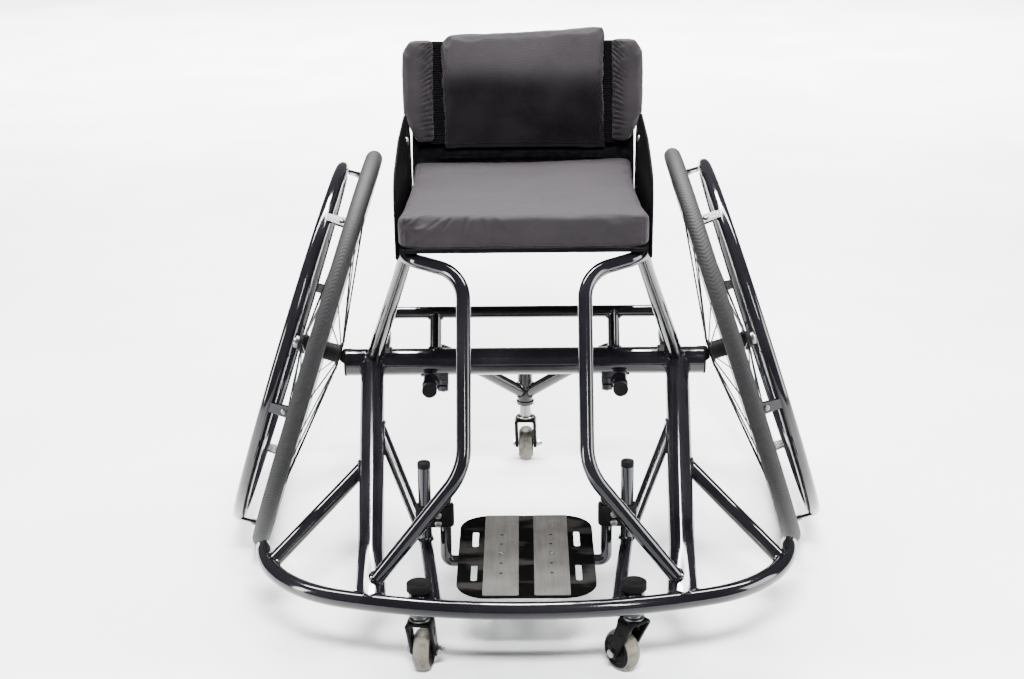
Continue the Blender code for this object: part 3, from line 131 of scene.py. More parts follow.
soft_lamp("floor_lamp", (0, 0.9, 3.1), (0, 2.1, 0.9), 4.4, 0.7, 700)
soft_lamp("far_floor_lamp", (0, 4.6, 2.6), (0, 4.6, 0), 6.5, 3.2, 760, "light").data.spread = math.radians(100)
soft_lamp("ceiling_lamp", (-0.15, 1.05, 2.7), (-0.1, 0.2, 0.1), 1.0, 0.7, 300, "shine")
soft_lamp("front_lamp", (0.1, -2.4, 2.5), (0, 0.1, 0.6), 1.0, 0.4, 135, "light").data.spread = math.radians(90)
soft_lamp("strip_lamp", (0.85, -1.9, 2.3), (0, 0, 0.35), 0.11, 1.0, 34)
soft_lamp("left_window", (-2.8, -0.9, 0.9), (0, 0, 0.5), 0.5, 1.5, 85)
soft_lamp("right_wall", (3.0, -0.5, 1.0), (0, 0, 0.5), 1.7, 1.7, 125)
room = bpy.data.worlds.new("white_room")
room.use_nodes = True
glow = room.node_tree.nodes["Background"].inputs
glow["Color"].default_value = (0.93, 0.96, 1.0, 1)
glow["Strength"].default_value = 0.19
bpy.context.scene.world = room

# %% [markdown]
# ## Writing a material like a sum
#
# A shader is a small calculation for each point of a surface. Wiring it by hand takes a node for every plus and
# times, which is hard to read in a script. Here a socket is wrapped in a small class whose operators add those
# nodes, so a material reads like a formula. Every other node comes from one method, node, which is told the
# node's type, its settings and what its sockets are fed with.


# %% Sockets with operators, and one method for the other nodes
class Value:
    """A socket that can be added to and multiplied like a number."""

    def __init__(self, maker, socket):
        self.maker = maker
        self.socket = socket

    def maths(self, operation, *values):
        made = self.maker.node("Math", {"operation": operation}, dict(enumerate(values)))
        return Value(self.maker, made.outputs[0])

    def __add__(self, other):
        return self.maths("ADD", self, other)

    def __sub__(self, other):
        return self.maths("SUBTRACT", self, other)

    def __rsub__(self, other):
        return self.maths("SUBTRACT", other, self)

    def __mul__(self, other):
        return self.maths("MULTIPLY", self, other)

    def __truediv__(self, other):
        return self.maths("DIVIDE", self, other)

    def __pow__(self, other):
        return self.maths("POWER", self, other)

    __radd__ = __add__
    __rmul__ = __mul__

    def wave(self):
        return self.maths("SINE", self)

    def size(self):
        return self.maths("ABSOLUTE", self)

    def step(self, low, high):
        """0 below low, 1 above high, and smooth between."""
        made = self.maker.node("MapRange", {"interpolation_type": "SMOOTHSTEP"},
            {"Value": self, "From Min": low, "From Max": high})
        return Value(self.maker, made.outputs[0])


class Maker:
    """Adds nodes to a tree. A node's settings come first, because they can change its sockets."""

    families = ("ShaderNode",)

    def node(self, kind, settings=None, feeds=None):
        family = next(word for word in self.families if hasattr(bpy.types, word + kind))
        made = self.tree.nodes.new(family + kind)
        for key, value in (settings or {}).items():
            setattr(made, key, value)
        for key, value in (feeds or {}).items():
            self.feed(made.inputs[key], value)
        return made

    def feed(self, socket, value):
        value = value.socket if isinstance(value, Value) else value
        if isinstance(value, bpy.types.NodeSocket):
            self.tree.links.new(value, socket)
        else:
            socket.default_value = value


class Finish(Maker):
    """One material. Constant values sit on the shader's own sockets."""

    def __init__(self, name, colour, roughness, metallic=0.0, slot=None, **constants):
        self.slot = slot or name
        self.material = bpy.data.materials.new(name)
        self.material.use_nodes = True
        self.tree = self.material.node_tree
        self.shader = self.tree.nodes["Principled BSDF"]
        self.shader.inputs["Base Color"].default_value = (*colour, 1)
        self.shader.inputs["Roughness"].default_value = roughness
        self.shader.inputs["Metallic"].default_value = metallic
        for socket, value in constants.items():
            self.shader.inputs[socket.replace("_", " ")].default_value = value

    def place(self):
        return self.node("TexCoord").outputs["Object"]

    def axes(self, source=None):
        """The three coordinates of a point, each as a value."""
        split = self.node("SeparateXYZ", None, {"Vector": source or self.place()})
        return [Value(self, output) for output in split.outputs]

    def grain(self, scale, detail, roughness=0.5, source=None):
        made = self.node("TexNoise", None, {"Vector": source or self.place(), "Scale": scale, "Detail": detail,
            "Roughness": roughness})
        return Value(self, made.outputs["Fac"])

    def stretched(self, scale):
        made = self.node("Mapping", None, {"Vector": self.place(), "Scale": scale})
        return made.outputs["Vector"]

    def cells(self, scale, uneven=1.0):
        """The distance to the nearest of many scattered points."""
        made = self.node("TexVoronoi", {"feature": "F1"}, {"Vector": self.place(), "Scale": scale,
            "Randomness": uneven})
        return Value(self, made.outputs["Distance"])

    def colour(self, mask, low, high):
        made = self.node("Mix", {"data_type": "RGBA"}, {0: mask, 6: (*low, 1), 7: (*high, 1)})
        self.feed(self.shader.inputs["Base Color"], made.outputs[2])

    def rough(self, value):
        self.feed(self.shader.inputs["Roughness"], value)

    def bump(self, height, distance, strength):
        made = self.node("Bump", None, {"Height": height, "Distance": distance, "Strength": strength})
        self.feed(self.shader.inputs["Normal"], made.outputs["Normal"])


# %% [markdown]
# ## The chair's finishes
#
# The frame is powder coated: deep black, very smooth, with the faint orange peel that baked powder has. The fork
# crowns and clamps are duller. The cushions are covered in a close plain weave with a purple cast, the band beside
# the back pad is a knitted spacer mesh, and the footplate carries gritty strips. Each finish gets its own grain at
# its own scale, and small changes of colour and shine where hands, shoes and dust leave them. The cushion covers
# also carry painted light: they are painted paler where light falls on them and darker where they are in shade.


# %% Paint, plastics and rubber
def make_gloss():
    """Powder coat: a dark base under a smooth clear skin with faint orange peel."""
    made = Finish("gloss_black_paint", (0.004, 0.004, 0.005), 0.1, Coat_Weight=0.1, Coat_Roughness=0.04,
        Specular_IOR_Level=0.5)
    cloud = made.grain(9, 3)
    made.colour(cloud.step(0.35, 0.7), (0.0022, 0.0021, 0.003), (0.0052, 0.0048, 0.0062))
    dust = made.grain(160, 4, 0.7).step(0.62, 0.8)
    made.rough(0.075 + cloud * 0.05 + dust * 0.05)
    made.bump(made.grain(420, 2), 0.00012, 0.35)
    return made


def make_plastic(name, colour, lighter, roughness, scale, depth, shine):
    """Moulded plastic: a fine spark-eroded grain, a little paler where it is rubbed."""
    made = Finish(name, colour, roughness, Specular_IOR_Level=shine)
    rub = made.grain(28, 4, 0.6).step(0.45, 0.75)
    made.colour(rub, colour, lighter)
    made.rough(roughness - rub * 0.08 + made.grain(scale / 3, 2) * 0.06)
    made.bump(made.grain(scale, 3), depth, 0.6)
    return made


def make_plate_coat():
    """The footplate's hard coat, which shoes have scuffed into cloudy smears."""
    made = Finish("footplate_coat", (0.002, 0.002, 0.002), 0.16, slot="black_plastic", Specular_IOR_Level=0.004)
    smear = made.grain(1, 4, 0.5, made.stretched((9, 24, 1))).step(0.5, 0.62)
    made.colour(smear, (0.0014, 0.0014, 0.0014), (0.013, 0.0125, 0.0117))
    made.rough(0.14 + smear * 0.12)
    made.bump(made.grain(60, 2), 0.00002, 0.6)
    return made


def make_tyre():
    """Tyre rubber, with a fine herringbone on the tread that fades down the side wall."""
    made = Finish("tyre_rubber", (0.012, 0.012, 0.0125), 0.7, Specular_IOR_Level=0.25)
    u, v, _ = made.axes(made.node("UVMap", {"uv_map": "wound"}).outputs["UV"])
    slant = (v - 0.5).size()
    rib = (u * (math.tau * 320) + slant * 60).wave()
    tread = 1 - slant.step(0.13, 0.2)
    dust = made.grain(240, 4, 0.65)
    made.colour(dust.step(0.5, 0.8), (0.008, 0.008, 0.0085), (0.018, 0.0178, 0.0172))
    made.rough(0.6 + dust * 0.2)
    made.bump(rib * tread * 0.5 + made.grain(900, 2) * 0.25, 0.0004, 0.6)
    return made


def make_urethane():
    """Cast urethane caster tyres, grey-beige and a little see-through on the real chair; here an opaque grey-beige
    with patches of dirt and soft darker bands all over.
    """
    made = Finish("caster_urethane", (0.07, 0.065, 0.055), 0.4, Specular_IOR_Level=0.15)
    dirt = made.grain(170, 4, 0.7).step(0.45, 0.7)
    band = made.grain(55, 2).step(0.4, 0.7)
    made.colour(dirt * 0.6 + band * 0.3, (0.105, 0.098, 0.08), (0.03, 0.027, 0.022))
    made.rough(0.36 + dirt * 0.2)
    made.bump(made.grain(500, 3), 0.0002, 0.5)
    return made


def make_metal(name, colour, roughness, stretch, slot=None):
    """Bare metal with fine drawn lines and small patches of a duller skin."""
    made = Finish(name, colour, roughness, 1.0, slot)
    lines = made.grain(1, 3, 0.6, made.stretched(stretch))
    dull = made.grain(90, 3).step(0.5, 0.8)
    made.colour(dull, colour, tuple(0.7 * part for part in colour))
    made.rough(roughness + lines * 0.12 + dull * 0.1)
    made.bump(lines, 0.00006, 0.5)
    return made


GLOSS = make_gloss()
BLACK_PLASTIC = make_plastic("black_plastic", (0.0035, 0.0033, 0.0035), (0.007, 0.0067, 0.007), 0.5, 1500, 0.00012,
    0.045)
FORK_PAINT = make_plastic("fork_black", (0.0025, 0.0025, 0.0027), (0.005, 0.005, 0.0053), 0.28, 900, 0.00006, 0.03)
GUARD_PLASTIC = make_plastic("guard_black", (0.002, 0.002, 0.0023), (0.004, 0.004, 0.0043), 0.55, 600, 0.00005, 0.02)
PLATE_COAT = make_plate_coat()
TYRE_RUBBER = make_tyre()
URETHANE = make_urethane()
DULL_ALLOY = make_metal("dull_alloy", (0.1, 0.095, 0.09), 0.4, (500, 500, 500), "brushed_alloy")
ALLOY = make_metal("brushed_alloy", (0.5, 0.51, 0.52), 0.24, (900, 900, 40))
ZINC = make_metal("zinc_steel", (0.24, 0.245, 0.235), 0.25, (500, 500, 500))


# %% Woven cloth, spacer mesh, webbing and grip tape
WEAVE_PITCH = 0.0011


def make_nylon(name, deep, pale, faded):
    """A close plain weave. Waves along all three axes cross on every flat side of a cushion. The function that is
    passed in says from x, y and z where the cover is painted paler, as painted light, and where it is painted darker,
    as painted shade."""
    made = Finish(name, (0.006, 0.0054, 0.0061), 0.6, slot="charcoal_nylon", Sheen_Weight=0.05, Sheen_Roughness=0.5,
        Sheen_Tint=(0.9, 0.8, 0.9, 1), Specular_IOR_Level=0.08, Specular_Tint=(1, 0.93, 0.99, 1))
    x, y, z = made.axes()
    over, under, through = ((axis * (math.tau / WEAVE_PITCH)).wave() for axis in (x, y, z))
    weave = over * under + over * through + under * through
    wear = made.grain(14, 4, 0.6)
    # Painted light and shade make up most of the colour mix, and random wear makes up the rest.
    made.colour(wear.step(0.3, 0.75) * 0.25 + faded(x, y, z) * 0.75, deep, pale)
    made.rough(0.52 + wear * 0.1)
    soft = made.grain(24, 3, 0.55)
    made.bump(weave * 0.09 + soft * 0.9, 0.0012, 0.6)
    return made


def make_mesh_cloth():
    """Knitted spacer mesh: rows of small holes in a dull black knit, each painted darker as painted shade inside the
    hole.
    """
    made = Finish("spacer_mesh", (0.002, 0.002, 0.0023), 0.9, slot="black_webbing", Specular_IOR_Level=0.04)
    hole = made.cells(480, 0.35)
    # Painted shade: the middle of each hole is painted darker.
    made.colour(hole.step(0.25, 0.5), (0.0005, 0.0005, 0.0005), (0.003, 0.003, 0.0033))
    made.bump(hole, 0.0006, 0.8)
    return made


def make_webbing():
    """Woven polyester webbing with ribs across it."""
    made = Finish("black_webbing", (0.002, 0.002, 0.0023), 0.7, Specular_IOR_Level=0.07)
    x, y, z = made.axes()
    rib = (x * (math.tau / 0.0016)).wave() * 0.6 + ((y + z) * (math.tau / 0.0022)).wave() * 0.4
    fuzz = made.grain(90, 4, 0.6)
    made.colour(fuzz.step(0.4, 0.75), (0.001, 0.001, 0.0012), (0.003, 0.003, 0.0033))
    made.rough(0.62 + fuzz * 0.15)
    made.bump(rib * 0.5 + fuzz * 0.3, 0.0004, 0.7)
    return made


def make_grip():
    """Grit bonded to tape: matt grey grains, rubbed smoother in places by shoes."""
    made = Finish("grip_tape", (0.05, 0.048, 0.045), 0.85, Specular_IOR_Level=0.25)
    grain = made.cells(1100)
    streaks = made.grain(1, 4, 0.65, made.stretched((260, 14, 260)))
    rubbed = (streaks * 0.3 + made.grain(700, 3, 0.7) * 0.4 + made.grain(30, 2) * 0.3).step(0.35, 0.65)
    made.colour(rubbed, (0.036, 0.0345, 0.032), (0.062, 0.059, 0.0545))
    made.rough(0.9 - rubbed * 0.2)
    made.bump(grain, 0.0006, 0.8)
    return made


def make_floor():
    """Painted concrete, pale and slightly blue, with faint smears, and a painted shadow: a darker patch on the floor
    in front of the chair.
    """
    made = Finish("pale_floor", (0.9, 0.91, 0.91), 0.4)
    smear = made.grain(2.2, 5, 0.6).step(0.35, 0.75)
    x, y, _ = made.axes()
    # Painted shadow: a soft darker patch on the floor under and in front of the chair.
    painted_shadow_reach = (x / 0.55) ** 2 + ((y + 0.85) / 0.62) ** 2 + (smear - 0.5) * 0.25
    made.colour(1 - painted_shadow_reach.step(0.0, 1.15), (0.91, 0.92, 0.91), (0.3, 0.315, 0.325))
    made.rough(0.3 + smear * 0.2)
    return made


# Painted light on the seat cover: it is painted paler towards the front, where light falls, and darker towards the
# rear, as painted shade.
SEAT_NYLON = make_nylon("charcoal_nylon_seat", (0.002, 0.0017, 0.002), (0.0132, 0.0118, 0.0132),
                        lambda x, y, z: 1 - y.step(-0.06, 0.24))
# Painted light on the back pad cover: its upper third is painted paler as a painted highlight, and the part below is
# painted darker as painted shade.
BACK_NYLON = make_nylon("charcoal_nylon_back", (0.0008, 0.0007, 0.0009), (0.013, 0.0117, 0.0129),
                        lambda x, y, z: (z + y * 0.3 + x * 0.04).step(0.712, 0.768))
# Painted light on the bolster covers: their outer halves are painted paler, as light from the sides, and their inner
# halves darker, as painted shade.
SIDE_NYLON = make_nylon("charcoal_nylon_side", (0.003, 0.0026, 0.0031), (0.0136, 0.0122, 0.0135),
                        lambda x, y, z: (x * x).step(0.018, 0.0262))
SPACER_MESH = make_mesh_cloth()
WEBBING = make_webbing()
GRIP = make_grip()
studio_floor.data.materials.append(make_floor().material)
print("finishes:", len(bpy.data.materials))

# %% [markdown]
# ## Growing what repeats
#
# Weld beads, spokes, screws and stitches repeat hundreds of times, and a tube is one circle carried along a line.
# These are rules, so Geometry Nodes make them: a tree takes a bare path or a few points and grows the shape on it.
# A tree is only used to make a mesh once. It ends in Realize Instances and Set Material, the result is taken as a
# plain mesh, and the modifier goes with the helper object, so that nothing live is left on a piece.


# %% Helper objects, and a tree of Geometry Nodes that gives a plain mesh
def helper_with(mesh):
    """An object for modifiers to work on. It isn't a piece, and goes when its mesh is finished."""
    return in_scene("helper", mesh)


def finished(helper):
    """The plain mesh of a helper with its modifiers applied."""
    bpy.context.view_layer.update()
    made = bpy.data.meshes.new_from_object(helper.evaluated_get(bpy.context.evaluated_depsgraph_get()))
    bpy.data.objects.remove(helper, do_unlink=True)
    return made


class Grower(Maker):
    """A Geometry Nodes tree with named inputs, run once on a bare mesh."""

    families = ("GeometryNode", "FunctionNode", "ShaderNode")

    def __init__(self, name, **inputs):
        self.tree = bpy.data.node_groups.new(name, "GeometryNodeTree")
        self.tree.interface.new_socket("Geometry", in_out="OUTPUT", socket_type="NodeSocketGeometry")
        for label, kind in {"Geometry": "Geometry", **inputs, "Finish": "Material"}.items():
            self.tree.interface.new_socket(label, in_out="INPUT", socket_type="NodeSocket" + kind)
        self.given = self.tree.nodes.new("NodeGroupInput").outputs

    def first(self, kind, **feeds):
        """The first output of a node that needs no settings."""
        return self.node(kind, None, {word.replace("_", " "): value for word, value in feeds.items()}).outputs[0]

    def attribute(self, name, kind="FLOAT"):
        return self.node("InputNamedAttribute", {"data_type": kind}, {"Name": name}).outputs["Attribute"]

    def end(self, geometry):
        real = self.first("RealizeInstances", Geometry=geometry)
        soft = self.first("SetShadeSmooth", Geometry=real, Shade_Smooth=True)
        last = self.first("SetMaterial", Geometry=soft, Material=self.given["Finish"])
        self.tree.links.new(last, self.tree.nodes.new("NodeGroupOutput").inputs[0])
        return self

    def grow(self, mesh, **values):
        """Runs the tree on a mesh and gives back the plain mesh that comes out."""
        helper = helper_with(mesh)
        step = helper.modifiers.new("grow", "NODES")
        step.node_group = self.tree
        for item in self.tree.interface.items_tree:
            if item.in_out == "INPUT" and item.name in values:
                step[item.identifier] = values[item.name]
        return finished(helper)


def bare_path(paths, **attributes):
    """Lines of points as a mesh without faces. Each attribute has one value for each point."""
    points = [point for path in paths for point in path]
    edges = []
    first = 0
    for path in paths:
        edges.extend((k, k + 1) for k in range(first, first + len(path) - 1))
        first += len(path)
    mesh = bpy.data.meshes.new("bare_path")
    mesh.from_pydata([tuple(point) for point in points], edges, [])
    for name, values in attributes.items():
        if isinstance(values[0], (int, float)):
            mesh.attributes.new(name, "FLOAT", "POINT").data.foreach_set("value", values)
        else:
            flat = [part for value in values for part in value]
            mesh.attributes.new(name, "FLOAT_VECTOR", "POINT").data.foreach_set("vector", flat)
    return mesh


# %% Tree 1: a round tube along a path
def make_tube_tree():
    grower = Grower("round_tube", Sides="Int")
    path = grower.first("MeshToCurve", Mesh=grower.given["Geometry"])
    ring = grower.first("CurvePrimitiveCircle", Resolution=grower.given["Sides"], Radius=1.0)
    solid = grower.node("CurveToMesh", None, {"Curve": path, "Profile Curve": ring, "Fill Caps": True,
        "Scale": grower.attribute("radius")})
    return grower.end(solid.outputs[0])


# %% Tree 2: a row of small lumps along a path, for weld beads and stitches
def make_row_tree():
    grower = Grower("row_on_path", Pitch="Float", Width="Float", Stretch="Float", Uneven="Float", Seed="Int")
    given = grower.given
    path = grower.first("MeshToCurve", Mesh=given["Geometry"])
    beads = grower.node("ResampleCurve", {"mode": "LENGTH"}, {"Curve": path, "Length": given["Pitch"]})
    lump = grower.first("MeshUVSphere", Segments=8, Rings=5, Radius=given["Width"])
    along = grower.node("AlignRotationToVector", {"axis": "Z"}, {"Vector": grower.first("InputTangent")}).outputs[0]
    uneven = Value(grower, given["Uneven"])
    even = grower.node("RandomValue", {"data_type": "FLOAT"}, {"Seed": given["Seed"], 2: 1 - uneven, 3: 1 + uneven})
    long = Value(grower, even.outputs[1]) * Value(grower, given["Stretch"])
    size = grower.first("CombineXYZ", X=even.outputs[1], Y=even.outputs[1], Z=long)
    placed = grower.node("InstanceOnPoints", None, {"Points": beads.outputs[0], "Instance": lump, "Rotation": along,
        "Scale": size})
    return grower.end(placed.outputs[0])


# %% Tree 3: one shape placed on points, each facing its own way, for screws and bolts
def make_place_tree():
    grower = Grower("placed_on_points", Shape="Object")
    shape = grower.node("ObjectInfo", {"transform_space": "ORIGINAL"}, {"Object": grower.given["Shape"]})
    points = grower.first("MeshToPoints", Mesh=grower.given["Geometry"])
    facing = grower.attribute("facing", "FLOAT_VECTOR")
    along = grower.node("AlignRotationToVector", {"axis": "Z"}, {"Vector": facing}).outputs[0]
    placed = grower.node("InstanceOnPoints", None, {"Points": points, "Instance": shape.outputs["Geometry"],
        "Rotation": along})
    return grower.end(placed.outputs[0])


# %% Tree 4: a wheel's spokes, each a thin rod turned about the hub
def make_spoke_tree():
    grower = Grower("spoke_set", Count="Int", Start="Vector", End="Vector", Thickness="Float", Phase="Float")
    given = grower.given
    line = grower.first("CurvePrimitiveLine", Start=given["Start"], End=given["End"])
    ring = grower.first("CurvePrimitiveCircle", Resolution=10, Radius=given["Thickness"])
    rod = grower.first("CurveToMesh", Curve=line, Profile_Curve=ring, Fill_Caps=True)
    points = grower.first("Points", Count=given["Count"])
    order = Value(grower, grower.first("InputIndex"))
    angle = (order + given["Phase"]) * math.tau / Value(grower, given["Count"])
    spin = grower.first("CombineXYZ", Z=angle)
    placed = grower.node("InstanceOnPoints", None, {"Points": points, "Instance": rod, "Rotation": spin})
    return grower.end(placed.outputs[0])


TUBES = make_tube_tree()
ROWS = make_row_tree()
PLACED = make_place_tree()
SPOKES = make_spoke_tree()
print("trees:", [tree.name for tree in bpy.data.node_groups])

# %% [markdown]
# ## Shapes and pieces
#
# Lathe work, plates and bent lines are written in plain mesh code. A Piece gathers such shapes in one mesh. All
# sizes are written as on the drawing: from the middle of the chair, the wheel axles and the floor. The finished
# mesh is carried to the model's place when the piece is done, and its object stays at the origin.

# %% Lines and curves
CHAIR = Matrix.Translation((0, AXLE_Y, 0))
UP = Vector((0, 0, 1))


def bent(corners, bends, step=math.radians(4)):
    """The centre line of a bent tube: straight runs joined by arcs of the given radii."""
    path = [Vector(corners[0])]
    for before, corner, after, radius in zip(corners, corners[1:], corners[2:], bends):
        arrive = (corner - before).normalized()
        leave = (after - corner).normalized()
        angle = arrive.angle(leave)
        axis = arrive.cross(leave).normalized()
        inward = axis.cross(arrive)
        centre = corner - arrive * radius * math.tan(angle / 2) + inward * radius
        count = max(2, math.ceil(angle / step))
        for k in range(count + 1):
            path.append(centre - Matrix.Rotation(angle * k / count, 3, axis) @ inward * radius)
    path.append(Vector(corners[-1]))
    return path


def rounded(corners, bends, step=math.radians(9)):
    """A closed flat outline whose corners are rounded by the given radii."""
    points = [Vector((x, y, 0)) for x, y in corners]
    outline = []
    for k, radius in enumerate(bends):
        triple = (points[k - 1], points[k], points[(k + 1) % len(points)])
        outline.extend(bent(triple, (radius,), step)[1:-1])
    return [(point.x, point.y) for point in outline]


def rounded_box(low, high, radius):
    corners = ((low[0], low[1]), (high[0], low[1]), (high[0], high[1]), (low[0], high[1]))
    return rounded(corners, (radius,) * 4)


def slot_outline(half_width, length, middle=(0, 0), turns=10):
    """The outline of a slot with round ends, its long way along the second axis."""
    straight = length / 2 - half_width
    outline = []
    for k in range(2 * turns + 2):
        end = 1 if k <= turns else -1
        angle = math.pi * (k if end > 0 else k - 1) / turns
        outline.append((middle[0] + half_width * math.cos(angle),
            middle[1] + end * straight + half_width * math.sin(angle)))
    return outline


def at(x, y, z):
    return Matrix.Translation((x, y, z))


def drift(x, y, z):
    """Smooth noise about zero, the same on each run."""
    return noise.noise(Vector((x, y, z)))


def spread(first, last, count):
    """Even steps from first to last, both included."""
    return [first + (last - first) * k / count for k in range(count + 1)]


def smooth_step(value, low, high):
    share = min(1.0, max(0.0, (value - low) / (high - low)))
    return share * share * (3 - 2 * share)


def both_sides(half, middle=()):
    """A lathe profile that is the same on both sides of its middle."""
    return [(-h, r) for h, r in half] + list(middle) + [(h, r) for h, r in reversed(half)]


def circle_outline(radius, middle=(0, 0), count=20):
    angles = [math.tau * k / count for k in range(count)]
    return [(middle[0] + radius * math.cos(angle), middle[1] + radius * math.sin(angle)) for angle in angles]


def sided(point, side):
    """A point of the chair's left side carried to the given side."""
    return Vector((point[0] * side, point[1], point[2]))


def on_side(line, side):
    return [sided(point, side) for point in line]


def upright_on(axis):
    """A turn that carries Z to the given axis."""
    return UP.rotation_difference(Vector(axis)).to_matrix().to_4x4()


def dome(path, radius, height=0.4, steps=4):
    """Extra points and radii that close the end of a tube with a rounded plug."""
    along = (path[-1] - path[-2]).normalized()
    points = []
    radii = []
    for k in range(1, steps + 1):
        angle = math.pi / 2 * k / steps
        points.append(path[-1] + along * radius * height * math.sin(angle))
        radii.append(max(radius * math.cos(angle), radius * 0.06))
    return points, radii


# %% A piece gathers shapes in one mesh
class Piece:
    """Shapes of one finish, in the chair's own frame unless a turn is given."""

    def __init__(self, turn=None):
        self.bm = bmesh.new()
        self.turn = CHAIR @ (turn or Matrix())

    def skin(self, rings, loop=False, caps=True):
        pairs = list(zip(rings, rings[1:]))
        if loop:
            pairs.append((rings[-1], rings[0]))
        elif caps:
            self.bm.faces.new(list(reversed(rings[0])))
            self.bm.faces.new(rings[-1])
        for low, high in pairs:
            for k in range(len(low)):
                after = (k + 1) % len(low)
                self.bm.faces.new((low[k], low[after], high[after], high[k]))
        return self

    def turned(self, profile, sides, place=None, loop=False):
        """Lathe work about Z, from (height, radius) points."""
        place = place or Matrix()
        rings = []
        for height, radius in profile:
            ring = []
            for j in range(sides):
                angle = math.tau * j / sides
                point = Vector((radius * math.cos(angle), radius * math.sin(angle), height))
                ring.append(self.bm.verts.new(place @ point))
            rings.append(ring)
        return self.skin(rings, loop)

    def plate(self, outline, low, high, normal="Z", place=None, edge=0.0006, holes=(), steps=1):
        """A slab with broken edges and holes, from low to high along its normal."""
        order = {"X": lambda a, b, level: (level, a, b), "Y": lambda a, b, level: (a, level, b),
                 "Z": lambda a, b, level: (a, b, level)}[normal]
        slab = bmesh.new()
        for loop in (outline, *holes):
            ring = [slab.verts.new(order(a, b, low)) for a, b in loop]
            for k, vertex in enumerate(ring):
                slab.edges.new((vertex, ring[(k + 1) % len(ring)]))
        bmesh.ops.triangle_fill(slab, edges=slab.edges[:], use_beauty=True)
        if not holes:
            bmesh.ops.dissolve_faces(slab, faces=slab.faces[:])
        lift = Vector(order(0, 0, high - low))
        grown = bmesh.ops.extrude_face_region(slab, geom=slab.faces[:])["geom"]
        bmesh.ops.translate(slab, verts=[item for item in grown if isinstance(item, bmesh.types.BMVert)], vec=lift)
        bmesh.ops.recalc_face_normals(slab, faces=slab.faces)
        if edge:
            sharp = [line for line in slab.edges if line.calc_face_angle(0) > math.radians(60)]
            bmesh.ops.bevel(slab, geom=sharp, offset=edge, segments=steps, profile=0.5, affect="EDGES")
        mesh = bpy.data.meshes.new("part")
        slab.to_mesh(mesh)
        slab.free()
        return self.add(mesh, place)

    def add(self, mesh, place=None):
        if place:
            mesh.transform(place)
        self.bm.from_mesh(mesh)
        bpy.data.meshes.remove(mesh)
        return self

    def tube(self, path, radius, sides=32, plugs=(False, False)):
        """A round tube. The radius is one number, or one for each point."""
        path = [Vector(point) for point in path]
        radii = list(radius) if isinstance(radius, (list, tuple)) else [radius] * len(path)
        if plugs[1]:
            more, sizes = dome(path, radii[-1])
            path, radii = path + more, radii + sizes
        if plugs[0]:
            more, sizes = dome(path[::-1], radii[0])
            path, radii = more[::-1] + path, sizes[::-1] + radii
        return self.add(TUBES.grow(bare_path([path], radius=radii), Sides=sides))

    def plain(self):
        """The shapes as a bare mesh, for another piece to use."""
        bmesh.ops.recalc_face_normals(self.bm, faces=self.bm.faces)
        mesh = bpy.data.meshes.new("plain")
        self.bm.to_mesh(mesh)
        self.bm.free()
        return mesh

    def done(self, name, finish, body, node=None, angle=32, merge=True):
        """The finished object, riding on its body and standing for its node. A mirrored shape is inside out until
        its faces are turned round."""
        if merge:
            bmesh.ops.remove_doubles(self.bm, verts=self.bm.verts, dist=0.000002)
        bmesh.ops.recalc_face_normals(self.bm, faces=self.bm.faces)
        self.bm.transform(self.turn)
        if self.turn.determinant() < 0:
            bmesh.ops.reverse_faces(self.bm, faces=self.bm.faces)
        mesh = bpy.data.meshes.new(name)
        self.bm.to_mesh(mesh)
        self.bm.free()
        mesh.materials.clear()
        mesh.materials.append(finish.material)
        for face in mesh.polygons:
            face.material_index = 0
        mesh.shade_smooth()
        mesh.set_sharp_from_angle(angle=math.radians(angle))
        made = in_scene(name, mesh)
        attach(made, body)
        if node:
            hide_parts(node)
        return made


def fasteners(name, profile, sides, places, body, turn=None):
    """One small turned shape of zinc on many (position, direction) places."""
    shape = bpy.data.objects.new("fastener", Piece().turned(profile, sides).plain())
    points = bare_path([[place for place, _ in places]], facing=[Vector(way) for _, way in places])
    mesh = PLACED.grow(points, Shape=shape, Finish=ZINC.material)
    bpy.data.objects.remove(shape)
    return Piece(turn).add(mesh).done(name, ZINC, body, merge=False)


print("tools ready")

# %% [markdown]
# ## The welded frame
#
# The frame is bent and mitred aluminium tube. Each tube here follows the same centre line as the solid that it
# stands for, with the same bend radii, but it is truly round. The bumper is a shallow arc with two turned-back
# ends. The seat tubes run on over the front corner and down beside the legs. The main tubes are pressed flat where
# they meet the bumper, which no single circle along a path can give, so those two are lofted from ellipses.

# %% Sizes of the frame, the same as the solids have
WHEEL_RADIUS, TYRE_RADIUS, CAMBER = 0.3045, 0.0125, math.radians(18)
WHEEL_OFFSET = 0.0751
CAMBER_TUBE_RADIUS, CAMBER_TUBE_HALF = 0.02, 0.2646
CAMBER_TUBE_Z = (WHEEL_RADIUS - TYRE_RADIUS) * math.cos(CAMBER) + TYRE_RADIUS - WHEEL_OFFSET * math.sin(CAMBER)
AXLE_ROOT_X = CAMBER_TUBE_HALF - 0.029
BUMPER_RADIUS, BUMPER_Y, BUMPER_Z, BUMPER_ARC = 0.0115, -0.5, 0.1125, 0.76
BUMPER_CORNER, BUMPER_END_TURN, BUMPER_TIP = 0.172, math.radians(80), 0.018
BUMPER_FLAT_HALF, BRACE_TURN = 0.235, math.radians(67)
FLAT_TURN = math.asin(BUMPER_FLAT_HALF / BUMPER_ARC)
MAIN_RADIUS, MAIN_ROOT_X, MAIN_FOOT_X = 0.0172, 0.2265, 0.1976
MAIN_FOOT_HALVES, MAIN_SQUASH_START, MAIN_SIDES = (0.0196, 0.0118), 0.86 * 0.94, 44
SEAT_TILT, BACK_LEAN = math.radians(2.5), math.radians(12)
SEAT_CORNER = Vector((0.1595, -0.222, 0.4925))
